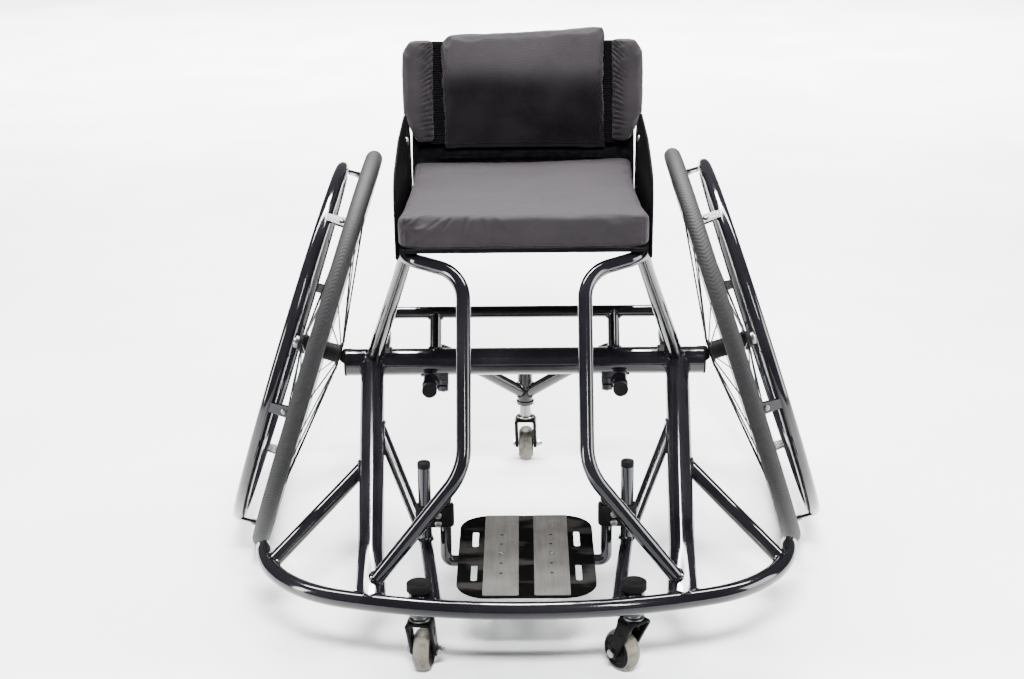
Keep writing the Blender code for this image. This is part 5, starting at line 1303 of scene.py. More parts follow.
# %% Sliding tubes, barrel and end caps
ANTI_TIP_JOIN, ANTI_TIP_FRONT_Y, ANTI_TIP_BEND_Y = Vector((0, REAR_STEM_Y, 0.124)), -0.033, 0.165
at_rear_stem = at(0, REAR_STEM_Y, 0)
anti = Piece()
cap = Piece()
for word, side in SIDES:
    front = Vector((side * ANTI_TIP_X, ANTI_TIP_FRONT_Y, ANTI_TIP_Z))
    corner = Vector((side * ANTI_TIP_X, ANTI_TIP_BEND_Y, ANTI_TIP_Z))
    leg = bent([front, corner, ANTI_TIP_JOIN + Vector((0.001 * side, 0, 0))], (0.045,))
    anti.tube(leg, ANTI_TIP_RADIUS, 36)
    lying = at(*front) @ upright_on((0, -1, 0))
    cap.turned([(-0.0013, ANTI_TIP_RADIUS + 0.0001), (-0.0013, 0.011), (0.005, 0.0113), (0.0064, 0.0106),
                (0.0073, 0.0085), (0.0075, 0.005), (0.007, 0.0004)], 36, lying)
low, wide = REAR_BARREL_BOTTOM_Z, REAR_BARREL_RADIUS
anti.turned([(low, BARREL_BORE), (low, 0.0139), (0.1071, 0.0145), (0.1119, 0.0145), (0.1125, 0.0139), (0.1132, wide),
    (0.1652, wide), (0.166, wide - 0.0008), (0.166, BARREL_BORE)], 44, at_rear_stem, True)
anti.done("anti_tip_tubes", GLOSS, "anti_tip", "anti_tip_frame")
top_plug = [(0.1655, 0.0062), (0.1662, 0.0118), (0.1672, 0.0118), (0.1681, 0.0108), (0.1687, 0.0084), (0.1689, 0.0004)]
cap.turned(top_plug, 36, at_rear_stem)
cap.done("anti_tip_caps", BLACK_PLASTIC, "anti_tip")

# %% [markdown]
# ## The footrest
#
# A bent hanger carries the plate, and two clamp blocks hold it beside the posts at any height. The plate is a slab
# with slots and drilled holes, and gritty tape is stuck on it in two strips. Small zinc screws hold it all.

# %% Hanger, clamp blocks and plate
HANGER_RADIUS, HANGER_X, HANGER_TOP_Z = 0.0075, 0.1061, 0.204
PLATE_TOP_Z, PLATE_THICK, PLATE_HALF_WIDTH, PLATE_FRONT_Y, PLATE_BACK_Y = 0.123, 0.003, 0.09, -0.4815, -0.2355
GRIP_X, GRIP_THICK, HOLE_PITCH = 0.033, 0.0012, 0.029
HANGER_BAR_Z = PLATE_TOP_Z - PLATE_THICK - 0.0003 - HANGER_RADIUS
PLATE_MIDDLE_Y = (PLATE_FRONT_Y + PLATE_BACK_Y) / 2
FOOT_Y = RAIL_BEND.y
CLAMP_LOW_Z, CLAMP_HIGH_Z = 0.166, 0.1932
hanger_corners = [Vector((-HANGER_X, FOOT_Y, HANGER_TOP_Z)), Vector((-HANGER_X, FOOT_Y, HANGER_BAR_Z)),
    Vector((HANGER_X, FOOT_Y, HANGER_BAR_Z)), Vector((HANGER_X, FOOT_Y, HANGER_TOP_Z))]
hanger = Piece().tube(bent(hanger_corners, (0.01, 0.01)), HANGER_RADIUS, 32)
hanger.done("hanger_bent", GLOSS, "footrest", "footrest_hanger")
plug_profile = [(-0.005, HANGER_RADIUS + 0.0001), (-0.005, 0.0084), (-0.0006, 0.0085), (0.0008, 0.0078),
    (0.0015, 0.006), (0.0017, 0.0004)]
plugs = Piece()
clamp_bolts = []
for word, side in SIDES:
    plugs.turned(plug_profile, 32, at(side * HANGER_X, FOOT_Y, HANGER_TOP_Z))
    half = RAIL_RADIUS + 0.004
    low, high = sorted((side * (RAIL_BEND.x + half), side * (HANGER_X - HANGER_RADIUS - 0.004)))
    block = Piece()
    holes = [circle_outline(RAIL_RADIUS + 0.0004, (side * RAIL_BEND.x, FOOT_Y), 36),
             circle_outline(HANGER_RADIUS + 0.0004, (side * HANGER_X, FOOT_Y), 36)]
    block.plate(rounded_box((low, FOOT_Y - half), (high, FOOT_Y + half), 0.009), CLAMP_LOW_Z, CLAMP_HIGH_Z, "Z", None,
                0.0009, holes)
    block.done(f"foot_clamp_block_{word}", BLACK_PLASTIC, "footrest", f"footrest_clamp_{word}")
    for height in (0.1722, 0.1842):
        clamp_bolts.append((Vector((side * 0.115, FOOT_Y - half, height)), Vector((0, -1, 0))))
plugs.done("hanger_plugs", BLACK_PLASTIC, "footrest")

slots = [slot_outline(0.004, 0.05, (side * 0.068, y)) for word, side in SIDES for y in (-0.411, -0.31)]
drilled = [(side * GRIP_X, PLATE_MIDDLE_Y + k * HOLE_PITCH) for word, side in SIDES for k in (-2, -1, 1, 2)]
small_holes = [circle_outline(0.0022, spot, 14) for spot in drilled]
plate = Piece().plate(rounded_box((-PLATE_HALF_WIDTH, PLATE_FRONT_Y), (PLATE_HALF_WIDTH, PLATE_BACK_Y), 0.04),
    PLATE_TOP_Z - PLATE_THICK, PLATE_TOP_Z, "Z", None, 0.0007, slots + small_holes)
plate.done("footplate_slab", PLATE_COAT, "footrest", "footplate")
for word, side in SIDES:
    low, high = sorted((side * 0.01, side * 0.056))
    holes = [circle_outline(0.0024, spot, 14) for spot in drilled if spot[0] * side > 0]
    strip = Piece().plate(rounded_box((low, PLATE_FRONT_Y + 0.002), (high, PLATE_BACK_Y - 0.002), 0.0025),
        PLATE_TOP_Z + 0.0002, PLATE_TOP_Z + GRIP_THICK, "Z", None, 0.0003, holes)
    strip.done(f"grip_tape_{word}", GRIP, "footrest", f"grip_strip_{word}")

# %% Screws of the footrest
socket_head = [(-0.0002, 0.0044), (0.0034, 0.0044), (0.004, 0.0038), (0.004, 0.0023), (0.0016, 0.0021),
    (0.0016, 0.0002)]
pan_head = [(-0.0002, 0.0036), (0.0006, 0.0035), (0.0015, 0.0027), (0.0019, 0.0014), (0.0011, 0.0012),
    (0.0011, 0.0002)]
fasteners("foot_clamp_bolts", socket_head, 24, clamp_bolts, "footrest")
screw_spots = [(Vector((side * GRIP_X, PLATE_MIDDLE_Y, PLATE_TOP_Z + GRIP_THICK)), UP) for _, side in SIDES]
fasteners("footplate_screws", pan_head, 20, screw_spots, "footrest")
print("footrest done")

# %% [markdown]
# ## Foam cushions in sewn covers
#
# A foam cushion in a sewn cover is not a smooth block. The foam presses the cover out, the seams hold it in, and the
# spare cloth near them gathers in small folds. So each pad starts as a slightly smaller block of even squares. Cloth
# simulation with pressure inside swells it against its own seams, with gravity off and its resting face held still.
# The moves are capped, so that the pad stays in its place. The large folds seen on the real chair are pressed in
# afterwards, because a simulation would put them anywhere it liked.


# %% From a block to a swollen pad
def even_block(outline, height, edge, voxel):
    helper = helper_with(Piece().plate(outline, 0, height, "Z", None, edge, (), 5).plain())
    step = helper.modifiers.new("even", "REMESH")
    step.mode, step.voxel_size, step.use_smooth_shade = "VOXEL", voxel, True
    return finished(helper)


PRESSURE, FRAMES = 4.0, 20


def swollen(mesh, cap, spare):
    """Cloth under pressure. The face at z = 0 is held, and no point moves further than the cap."""
    start = [vertex.co.copy() for vertex in mesh.vertices]
    helper = helper_with(mesh)
    held = helper.vertex_groups.new(name="held")
    held.add([k for k, point in enumerate(start) if point.z < 0.0015], 1.0, "REPLACE")
    cloth = helper.modifiers.new("cover", "CLOTH")
    rules = cloth.settings
    rules.quality = 4
    rules.mass = 0.3
    rules.tension_stiffness = rules.compression_stiffness = 12
    rules.shear_stiffness = 6
    rules.bending_stiffness = 0.4
    rules.use_pressure = True
    rules.uniform_pressure_force = PRESSURE
    rules.shrink_min = -spare
    rules.effector_weights.gravity = 0
    rules.vertex_group_mass = "held"
    scene = bpy.context.scene
    for number in range(1, FRAMES + 1):
        scene.frame_set(number)
    moved = finished(helper)
    scene.frame_set(1)
    for vertex, point in zip(moved.vertices, start):
        shift = vertex.co - point
        if shift.length > cap:
            vertex.co = point + shift.normalized() * cap
    return moved


def finer(mesh):
    helper = helper_with(mesh)
    step = helper.modifiers.new("finer", "SUBSURF")
    step.levels = step.render_levels = 1
    return finished(helper)


def pad(outline, height, edge, voxel, cap, spare, press):
    """A swollen pad whose points are then moved by the function press."""
    mesh = finer(swollen(even_block(outline, height, edge, voxel), cap, spare))
    ways = [vertex.normal.copy() for vertex in mesh.vertices]
    for vertex, way in zip(mesh.vertices, ways):
        vertex.co = press(vertex.co.copy(), way)
    return mesh


def hill(value, middle, width):
    return math.exp(-((value - middle) / width) ** 2)


# %% [markdown]
# ## The seat cushion
#
# It lies on the sling between the guards: a slab of foam, a little crowned, whose sides pull in between the corners.
# Its back right corner sits higher than the left one. The front face is a separate panel with a seam beside each
# rounded corner. Near the one on the right side of the chair, the cover has been pulled, and creases fan out of it.

# %% Seat cushion
SEAT = at(0, SEAT_CORNER.y, SEAT_CORNER.z) @ Matrix.Rotation(-SEAT_TILT, 4, "X")
SLING_UNDER = SIDE_TUBE_RADIUS + 0.0003
SLING_THICK = 0.0045
CUSHION_HALF_X, CUSHION_HALF_Y, CUSHION_HEIGHT = 0.1672, 0.193, 0.046
SEAM_X = 0.1565
CUSHION_PLACE = SEAT @ at(0, CUSHION_HALF_Y - 0.025, SLING_UNDER + SLING_THICK + 0.0003)


SEAT_CREASES = ((-0.118, 1.5, 0.002), (-0.101, 0.9, 0.0024), (-0.076, 0.35, 0.0022), (-0.052, -0.35, 0.0019),
    (-0.033, -0.8, 0.0012), (0.02, 0.2, 0.0006))
SEAT_DENTS = ((-0.06, 0.0016), (-0.02, 0.001), (-0.112, 0.0012))


def press_seat(point, way):
    x, y, z = point
    across, along, up = x / CUSHION_HALF_X, y / CUSHION_HALF_Y, z / CUSHION_HEIGHT
    pull = 0.026 if x < 0 else 0.04
    point.x *= 1 - pull * (1 - (along - 0.25) ** 2 / 1.56) * smooth_step(abs(across), 0.3, 1)
    point.z += 0.004 * (1 - across ** 2) * (1 - along ** 2) * smooth_step(up, 0.4, 1)
    point.z += 0.0048 * smooth_step(across, 0.0, 1) * smooth_step(along, -0.2, 1) * up
    point.z += 0.0009 * drift(x * 16, y * 16, 1.7) * smooth_step(up, 0.5, 1)
    front = smooth_step(-way.y, 0.45, 0.95)
    point.y -= 0.002 * front * math.sin(math.pi * up)
    # the fan of creases beside the seam
    dx, dz = x + SEAM_X - 0.001, z - 0.032
    reach = math.hypot(dx, dz * 1.3)
    angle = math.atan2(dz, dx)
    fan = math.cos(angle * 8.5 + 0.7 + 1.6 * drift(x * 26, z * 26, 5.0))
    fan = smooth_step(fan, 0.15, 1.0) - 0.35
    point.y -= 0.0034 * front * fan * math.exp(-max(0.0, reach - 0.012) / 0.024) * smooth_step(reach, 0.001, 0.007)
    for x_at, slant, deep in SEAT_CREASES:
        off = x - x_at - slant * (z - 0.036)
        drawn = smooth_step(z, 0.016, 0.03) * smooth_step(0.0455 - z, 0, 0.006)
        point.y += deep * front * (hill(off, 0, 0.0024) - 0.6 * hill(off, 0.0045, 0.0032)) * drawn
    for x_at, deep in SEAT_DENTS:
        off = x - x_at + 0.5 * (z - 0.012)
        point.y += deep * front * hill(off, 0, 0.003) * hill(z, 0.009, 0.007)
    point.y -= 0.0007 * front * math.sin(z * 1050) * hill(abs(x), SEAM_X - 0.006, 0.006)
    # the seams themselves are drawn in
    point.y += 0.0014 * front * hill(abs(x), SEAM_X, 0.0024)
    low = 1 - smooth_step(z, 0.0, 0.014)
    point.z += 0.0045 * smooth_step(abs(x), 0.128, 0.167) * low * smooth_step(-along, 0.7, 1)
    return point


x, y = CUSHION_HALF_X - 0.001, CUSHION_HALF_Y - 0.0014
cushion_outline = rounded([(-x, -y), (x, -y), (x, y), (-x, y)], (0.014, 0.014, 0.005, 0.005))
cushion = pad(cushion_outline, CUSHION_HEIGHT - 0.0012, 0.005, 0.0045, 0.0026, 0.02, press_seat)
seat_cushion = Piece(CUSHION_PLACE).add(cushion)
seat_cushion = seat_cushion.done("seat_cushion_sewn", SEAT_NYLON, "frame", "seat_cushion", angle=75)
print("seat cushion:", len(seat_cushion.data.vertices), "points")

# %% [markdown]
# ## The back pad and the bolsters
#
# The back pad is a firm board of foam. Its upper third leans back and catches more light, and its cover is also
# painted paler there as a painted highlight, with painted shade below. Its top edge runs up to one side, and the
# corner on the other side is cut off. Beside it stand two bolsters whose covers are shirred: short slanted pleats run
# along the inner edge, where the cloth is gathered on to the knitted band. Their outer halves are painted paler, as
# light from the sides.

# %% Back pad
PAD_FRONT = -(SIDE_TUBE_RADIUS + 0.0003) - 0.004 - 0.0003
BACK_PAD_HALF, BACK_PAD_LOW, BACK_PAD_HIGH, BACK_PAD_THICK = 0.125, 0.077, 0.254, 0.03
BACK_PAD_RISE = (BACK_PAD_HIGH - BACK_PAD_LOW) / 2
BACK_PAD_PLACE = (BACK @ at(0, PAD_FRONT, BACK_PAD_LOW + BACK_PAD_RISE) @ Matrix.Rotation(math.pi / 2, 4, "X"))


BACK_CREASES = ((0.013, 1.5, 0.0019), (0.002, 1.3, 0.0024), (-0.01, 1.1, 0.0018), (0.024, 1.7, 0.0012))


def press_back(point, way):
    x, y, z = point
    across, up, out = x / BACK_PAD_HALF, y / BACK_PAD_RISE, z / BACK_PAD_THICK
    face = smooth_step(way.z, 0.3, 0.9)
    edge = smooth_step(abs(across), 0.88, 1.0)
    front = min(1.0, max(0.0, out))
    point.x *= 1 - 0.022 * (1 - up * up) * smooth_step(abs(across), 0.5, 1)
    point.z += 0.0045 * (1 - across ** 2) * (1 - up * up) * front
    bend = up - 0.12
    point.z -= 0.021 * (math.sqrt(bend * bend + 0.09) + bend) / 2 * front
    bend = 0.25 - up
    point.z -= 0.017 * (math.sqrt(bend * bend + 0.02) + bend) / 2.5 * front
    point.y += 0.0058 * across * smooth_step(up, -0.4, 1.0)
    point.x += 0.006 * smooth_step(-across, 0.4, 1.0) * smooth_step(-up, -0.4, 1.0)
    point.z += 0.0008 * drift(x * 18, y * 22, 4.1) * face
    ripple = drift(7.0, y * 120, 2.0 + across)
    point.z += 0.0012 * ripple * face * smooth_step(abs(across), 0.92, 0.995)
    point.x += 0.0008 * math.copysign(ripple, x) * edge
    for y_at, slant, deep in BACK_CREASES:
        off = y - y_at - slant * (x - 0.118)
        crease = hill(off, 0, 0.0022) - 0.5 * hill(off, 0.004, 0.003)
        point.z -= deep * face * crease * smooth_step(x, 0.106, 0.117)
    return point


x, y = BACK_PAD_HALF - 0.001, BACK_PAD_RISE - 0.001
corners = [(-x, -y), (x, -y), (x, y - 0.009), (x - 0.004, y), (-x + 0.014, y), (-x, y - 0.015)]
back_outline = rounded(corners, (0.004, 0.004, 0.003, 0.002, 0.003, 0.005))
back_mesh = pad(back_outline, BACK_PAD_THICK - 0.0008, 0.004, 0.0036, 0.002, 0.012, press_back)
back_pad = Piece(BACK_PAD_PLACE).add(back_mesh)
back_pad = back_pad.done("back_pad_sewn", BACK_NYLON, "frame", "back_pad", angle=75)
print("back pad:", len(back_pad.data.vertices), "points")

# %% Bolsters with shirred covers
BOLSTER_INNER, BOLSTER_OUTER, BOLSTER_LOW_X = 0.133, 0.181, 0.158
BOLSTER_LOW, BOLSTER_STEP, BOLSTER_HIGH, BOLSTER_THICK = 0.088, 0.132, 0.239, 0.036
BOLSTER_HALF_X = (BOLSTER_OUTER - BOLSTER_INNER) / 2
BOLSTER_HALF_Y = (BOLSTER_HIGH - BOLSTER_LOW) / 2
PLEAT_PITCH = 0.0068


def press_bolster(point, way):
    """Moves on the left side's bolster, whose inner edge is at the lowest x."""
    x, y, z = point
    inner = x + BOLSTER_HALF_X
    face = smooth_step(way.z, 0.1, 0.8)
    up = y / BOLSTER_HALF_Y
    point.z -= 0.015 * math.exp(-inner / 0.014) * smooth_step(z, 0.01, 0.03)
    warp = y + 0.003 * drift(y * 48, 3.0, 8.0) + (0.55 + 0.5 * up) * x
    pleat = 1 - abs(math.sin(math.pi * warp / PLEAT_PITCH)) ** 0.7
    reach = 0.85 + 0.7 * drift(y * 90, 1.0, 2.0)
    ends = smooth_step(0.97 - abs(up), 0.0, 0.08)
    point.z -= 0.0082 * face * pleat * hill(inner, 0.007, 0.0085 * reach) * ends
    far = 1 - abs(math.sin(math.pi * warp / (2.3 * PLEAT_PITCH))) ** 0.6
    point.z -= 0.001 * face * far * hill(inner, 0.015, 0.008) * ends
    point.z += 0.0014 * drift(x * 40, y * 30, 6.0) * face
    point.x -= 0.0014 * (1 - up * up) * smooth_step(x, 0.0, BOLSTER_HALF_X)
    point.y += 0.0014 * drift(x * 70, z * 60, 2.0) * smooth_step(abs(up), 0.8, 1)
    return point


x, y = BOLSTER_HALF_X - 0.001, BOLSTER_HALF_Y - 0.001
low_x = BOLSTER_LOW_X - BOLSTER_INNER - BOLSTER_HALF_X - 0.001
step = BOLSTER_STEP - BOLSTER_LOW - BOLSTER_HALF_Y
corners = [(-x, -y), (low_x, -y), (x, step), (x, y - 0.02), (x - 0.012, y), (-x, y)]
bolster_outline = rounded(corners, (0.007, 0.008, 0.008, 0.006, 0.005, 0.004))
bolster_mesh = pad(bolster_outline, BOLSTER_THICK - 0.0008, 0.007, 0.0026, 0.0018, 0.02, press_bolster)
for word, side in SIDES:
    middle = (side * (BOLSTER_INNER + BOLSTER_HALF_X), PAD_FRONT, BOLSTER_LOW + BOLSTER_HALF_Y)
    place = (BACK @ at(*middle) @ Matrix.Rotation(math.pi / 2, 4, "X") @ Matrix.Diagonal((side, 1, 1, 1)))
    bolster = Piece(place).add(bolster_mesh.copy())
    bolster = bolster.done(f"bolster_sewn_{word}", SIDE_NYLON, "frame", f"side_pad_{word}", angle=75)
print("bolsters:", len(bolster_mesh.vertices), "points each")

# %% Knitted bands between the pads
BAND_INNER, BAND_WIDTH, BAND_LOW, BAND_HIGH, BAND_RIB = 0.1165, 0.0225, 0.086, 0.236, 0.0034
for word, side in SIDES:
    band = Piece(BACK)
    rows = []
    for up in spread(BAND_LOW, BAND_HIGH, 220):
        ridge = 0.0012 * math.sin(math.tau * up / BAND_RIB) + 0.0015 * drift(side, up * 60, 3.0)
        row = []
        for share in spread(0, 1, 8):
            bow = 0.003 * math.sin(math.pi * share)
            row.append((side * (BAND_INNER + BAND_WIDTH * share), PAD_FRONT - 0.01 - 0.0035 * share - bow - ridge, up))
        row += [(side * (BAND_INNER + width), PAD_FRONT - 0.001, up) for width in (BAND_WIDTH, 0)]
        rows.append([band.bm.verts.new(point) for point in row])
    band.skin(rows)
    band.done(f"knitted_band_{word}", SPACER_MESH, "frame", angle=70)

# %% Rolled seams, laid on the finished covers
def seam(name, cover, place, paths, radius, finish):
    """A thin rolled seam on a cover. Each path of the cover's own coordinates is laid on its surface."""
    mesh = cover.data
    skin = BVHTree.FromPolygons([vertex.co for vertex in mesh.vertices], [face.vertices for face in mesh.polygons])
    made = Piece(CHAIR.inverted())
    for path in paths:
        found = [skin.find_nearest(CHAIR @ place @ point)[:2] for point in path]
        made.tube([spot + way * radius * 0.25 for spot, way in found], radius, 10)
    return made.done(name, finish, "frame", angle=60)


def between(first, last, count=40):
    return [Vector(first).lerp(Vector(last), k / count) for k in range(count + 1)]


front_y = -CUSHION_HALF_Y - 0.004
seam("seat_cushion_seams", seat_cushion, CUSHION_PLACE,
     [between((side * SEAM_X, front_y, 0.0035), (side * (SEAM_X + 0.001), front_y, 0.0425)) for _, side in SIDES]
     + [between((-0.15, front_y, 0.003), (0.15, front_y, 0.003), 90)], 0.0008, SEAT_NYLON)
rim_x, rim_y, rim_z = BACK_PAD_HALF - 0.0012, BACK_PAD_RISE - 0.0012, BACK_PAD_THICK + 0.004
seam("back_pad_seams", back_pad, BACK_PAD_PLACE,
     [between((-rim_x, -rim_y, rim_z), (rim_x, -rim_y, rim_z), 80),
      between((-rim_x, -rim_y, rim_z), (-rim_x, rim_y - 0.016, rim_z), 60),
      between((rim_x, -rim_y, rim_z), (rim_x, rim_y - 0.008, rim_z), 60)], 0.0007, BACK_NYLON)

# %% [markdown]
# ## Slings, hems and stitches
#
# The seat and the back are two sheets of strong cloth, held stretched between the tubes. Below the back pad the sheet
# is slack and hangs in two soft folds. Both sheets are folded over at their edges and sewn with two rows of stitches,
# which the row tree lays along the hem.

# %% Seat sling
SLING_FRONT, SLING_BACK, SLING_HALF = -0.02, 0.3565, 0.1645


def cloth_slab(piece, grid, thick, lift):
    """A closed slab from a grid of points: the grid on one side, and the same moved by lift * thick on the other."""
    top = [[piece.bm.verts.new(point) for point in row] for row in grid]
    low = [[piece.bm.verts.new(point + lift * thick) for point in row] for row in grid]
    for sheet, first in ((top, 0), (low, 1)):
        for near, far in zip(sheet, sheet[1:]):
            for k in range(len(near) - 1):
                a, b = (k, k + 1) if first == 0 else (k + 1, k)
                piece.bm.faces.new((near[a], near[b], far[b], far[a]))
    rims = [sheet[0] + [row[-1] for row in sheet[1:-1]] + sheet[-1][::-1] + [row[0] for row in sheet[-2:0:-1]]
            for sheet in (top, low)]
    for k in range(len(rims[0])):
        after = (k + 1) % len(rims[0])
        piece.bm.faces.new((rims[0][after], rims[0][k], rims[1][k], rims[1][after]))
    return piece


seat_grid = []
for y in spread(SLING_FRONT, SLING_BACK, 48):
    hem = 0.0009 * hill(y, SLING_FRONT + 0.004, 0.006)
    row = []
    for x in spread(-SLING_HALF, SLING_HALF, 60):
        rough = 0.0002 * drift(x * 40, y * 40, 1.0)
        row.append(Vector((x, y, SLING_UNDER + SLING_THICK + hem + rough)))
    seat_grid.append(row)
seat_sling = cloth_slab(Piece(SEAT), seat_grid, SLING_THICK, Vector((0, 0, -1)))
seat_sling = seat_sling.done("seat_sling_cloth", WEBBING, "frame", "seat_sling", angle=50)

# %% Back sling, slack below the pad
BACK_SLING_LOW, BACK_SLING_HIGH, BACK_SLING_HALF, BACK_SLING_THICK = 0.034, 0.239, 0.168, 0.004
SLING_FACE = -(SIDE_TUBE_RADIUS + 0.0003)


def sling_depth(x, up):
    """How far the slack cloth below the pad stands forward."""
    slack = 1 - smooth_step(up, 0.066, 0.078)
    middle = 1 - smooth_step(abs(x), 0.105, 0.15)
    sway = 0.004 * drift(x * 11, 2.0, 5.0)
    fold = hill(up, 0.0655 + sway, 0.0052) * 0.011 + hill(up, 0.048 + 0.8 * sway + 0.02 * x, 0.0066) * 0.0085
    fine = 0.0016 * drift(x * 26, up * 120, 7.0)
    return slack * middle * (fold + fine)


columns = spread(-BACK_SLING_HALF, BACK_SLING_HALF, 84)
back_grid = [[Vector((x, SLING_FACE - sling_depth(x, up), up)) for x in columns]
    for up in spread(BACK_SLING_LOW, BACK_SLING_HIGH, 82)]
back_sling = cloth_slab(Piece(BACK), back_grid, BACK_SLING_THICK, Vector((0, -1, 0)))
back_sling = back_sling.done("back_sling_cloth", WEBBING, "frame", "back_sling", angle=50)

# %% Sewn rows along the slings' hems, and seams on the cushion
THREAD = Finish("black_thread", (0.03, 0.03, 0.032), 0.7, slot="black_webbing", Sheen_Weight=0.2)
THREAD.rough(0.6 + THREAD.grain(300, 2) * 0.2)
STITCH_LENGTH, STITCH_RADIUS, STITCH_STRETCH = 0.003, 0.0003, 3.2


def stitched(name, place, rows):
    """Rows of stitches, each a small lump drawn out along its row."""
    mesh = ROWS.grow(bare_path(rows), Pitch=STITCH_LENGTH, Width=STITCH_RADIUS, Stretch=STITCH_STRETCH, Uneven=0.1,
        Seed=4, Finish=THREAD.material)
    return Piece(place).add(mesh).done(name, THREAD, "frame", merge=False)


hem_y, hem_z = SLING_FRONT - 0.00005 + 0.0022, SLING_UNDER + SLING_THICK + 0.0009
seat_rows = [[Vector((x, hem_y, hem_z)) for x in spread(-0.16, 0.16, 40)]]
for side in (1, -1):
    for inset in (0.004, 0.016):
        ys = spread(SLING_FRONT + 0.01, SLING_FRONT + 0.36, 30)
        seat_rows.append([Vector((side * (SLING_HALF - inset), y, SLING_UNDER - 0.00005)) for y in ys])
stitched("seat_sling_stitches", SEAT, seat_rows)
back_rows = []
for inset in (0.004, 0.014):
    up = BACK_SLING_HIGH - inset
    back_rows.append([Vector((x, SLING_FACE + 0.0001, up)) for x in spread(-0.164, 0.164, 40)])
for side in (1, -1):
    for inset in (0.004, 0.03):
        x = side * (BACK_SLING_HALF - inset)
        back_rows.append([Vector((x, SLING_FACE + 0.0001, up)) for up in spread(0.04, 0.23, 30)])
stitched("back_sling_stitches", BACK, back_rows)
print("slings and stitches done")

# %% [markdown]
# ## Side guards
#
# The guards are thin sheets of shiny plastic. They are screwed to the back canes with round-headed bolts, one on
# each side, which are the two bright points beside the back pad.

# %% Guards with their bolts
GUARD_THICK = 0.003
GUARD_INNER = SEAT_CORNER.x + SIDE_TUBE_RADIUS + 0.0003
guard_corners = [(-0.207, 0.483), (-0.216, 0.596), (-0.1, 0.6245), (0.045, 0.632), (CANE_FOOT.y - 0.0077, 0.588),
    (CANE_FOOT.y + 0.0153, 0.468)]
guard_outline = rounded(guard_corners, (0.012, 0.04, 0.15, 0.08, 0.05, 0.012), math.radians(3))
GUARD_BOLT_Y, GUARD_BOLT_Z = 0.052, 0.59
heads = []
for word, side in SIDES:
    inner, outer = side * GUARD_INNER, side * (GUARD_INNER + GUARD_THICK)
    for x, out in ((inner, -side), (outer, side)):
        heads.append((Vector((x, GUARD_BOLT_Y, GUARD_BOLT_Z)), Vector((out, 0, 0))))
    guard = Piece().plate(guard_outline, min(inner, outer), max(inner, outer), "X", None, 0.0011, (), 3)
    guard.done(f"guard_sheet_{word}", GUARD_PLASTIC, "frame", f"side_guard_{word}")
bolt_head = [(-0.0004, 0.0058), (0.0004, 0.0058), (0.0016, 0.0052), (0.0027, 0.0038), (0.0032, 0.0021),
    (0.0022, 0.0018), (0.0022, 0.0002)]
fasteners("guard_bolts", bolt_head, 28, heads, "frame")
print("guards done")

# %% [markdown]
# ## Weld beads
#
# Where two tubes meet, the welder lays a row of overlapping drops of metal round the joint, and the paint goes over
# them. The line of such a joint is where the skin of one tube cuts the skin of the other. It is worked out in
# Python, one quadratic for each point, and the row tree sets a flattened drop every 2.5 mm along it.

# %% The line where one tube's skin meets another's
BEAD_PITCH, BEAD_RADIUS, SKIN_GAP = 0.0025, 0.0023, 0.0003


def saddle(toward, foot, halves, line_point, line_way, radius, count=48):
    """The closed line where a tube that comes from toward to foot meets a round tube along a line."""
    toward, foot, line_point = Vector(toward), Vector(foot), Vector(line_point)
    along = (foot - toward).normalized()
    above = UP if abs(along.z) < 0.95 else Vector((0, 1, 0))
    up = (above - above.project(along)).normalized()
    aside = along.cross(up)
    line_way = Vector(line_way).normalized()
    wide, high = (half + SKIN_GAP for half in (halves if isinstance(halves, tuple) else (halves, halves)))
    way = along - line_way * along.dot(line_way)
    points = []
    for k in range(count + 1):
        angle = math.tau * k / count
        start = toward + aside * math.cos(angle) * wide + up * math.sin(angle) * high
        off = start - line_point
        off -= line_way * off.dot(line_way)
        a, b, c = way.dot(way), 2 * off.dot(way), off.dot(off) - (radius + SKIN_GAP) ** 2
        reach = (-b - math.sqrt(max(0.0, b * b - 4 * a * c))) / (2 * a)
        points.append(start + along * reach)
    return points


def bumper_way(x):
    turn = math.asin(x / BUMPER_ARC)
    return Vector((math.cos(turn), math.sin(turn), 0))


def box_line(half_x, half_y, middle_x, drop):
    """A line on the camber tube round a plate that stands on it, above or below."""
    corners = [(-half_x, -half_y), (half_x, -half_y), (half_x, half_y), (-half_x, half_y), (-half_x, -half_y)]
    points = []
    for (x_from, y_from), (x_to, y_to) in zip(corners, corners[1:]):
        for x, y in list(zip(spread(x_from, x_to, 12), spread(y_from, y_to, 12)))[:-1]:
            skin = math.sqrt((CAMBER_TUBE_RADIUS + SKIN_GAP) ** 2 - y * y)
            points.append(Vector((middle_x + x, y, CAMBER_TUBE_Z + drop * skin)))
    return points


def barrel_line():
    """The line round the place where a barrel touches the bumper."""
    points = []
    for k in range(41):
        angle = math.tau * k / 40
        across, up = 0.008 * math.cos(angle), 0.0078 * math.sin(angle)
        skin = STEM_Y - math.sqrt(BARREL_RADIUS ** 2 - across ** 2)
        bar = bumper_at(CASTER_X + across).y + math.sqrt(BUMPER_RADIUS ** 2 - up ** 2)
        points.append(Vector((CASTER_X + across, (skin + bar) / 2, BUMPER_Z + up)))
    return points


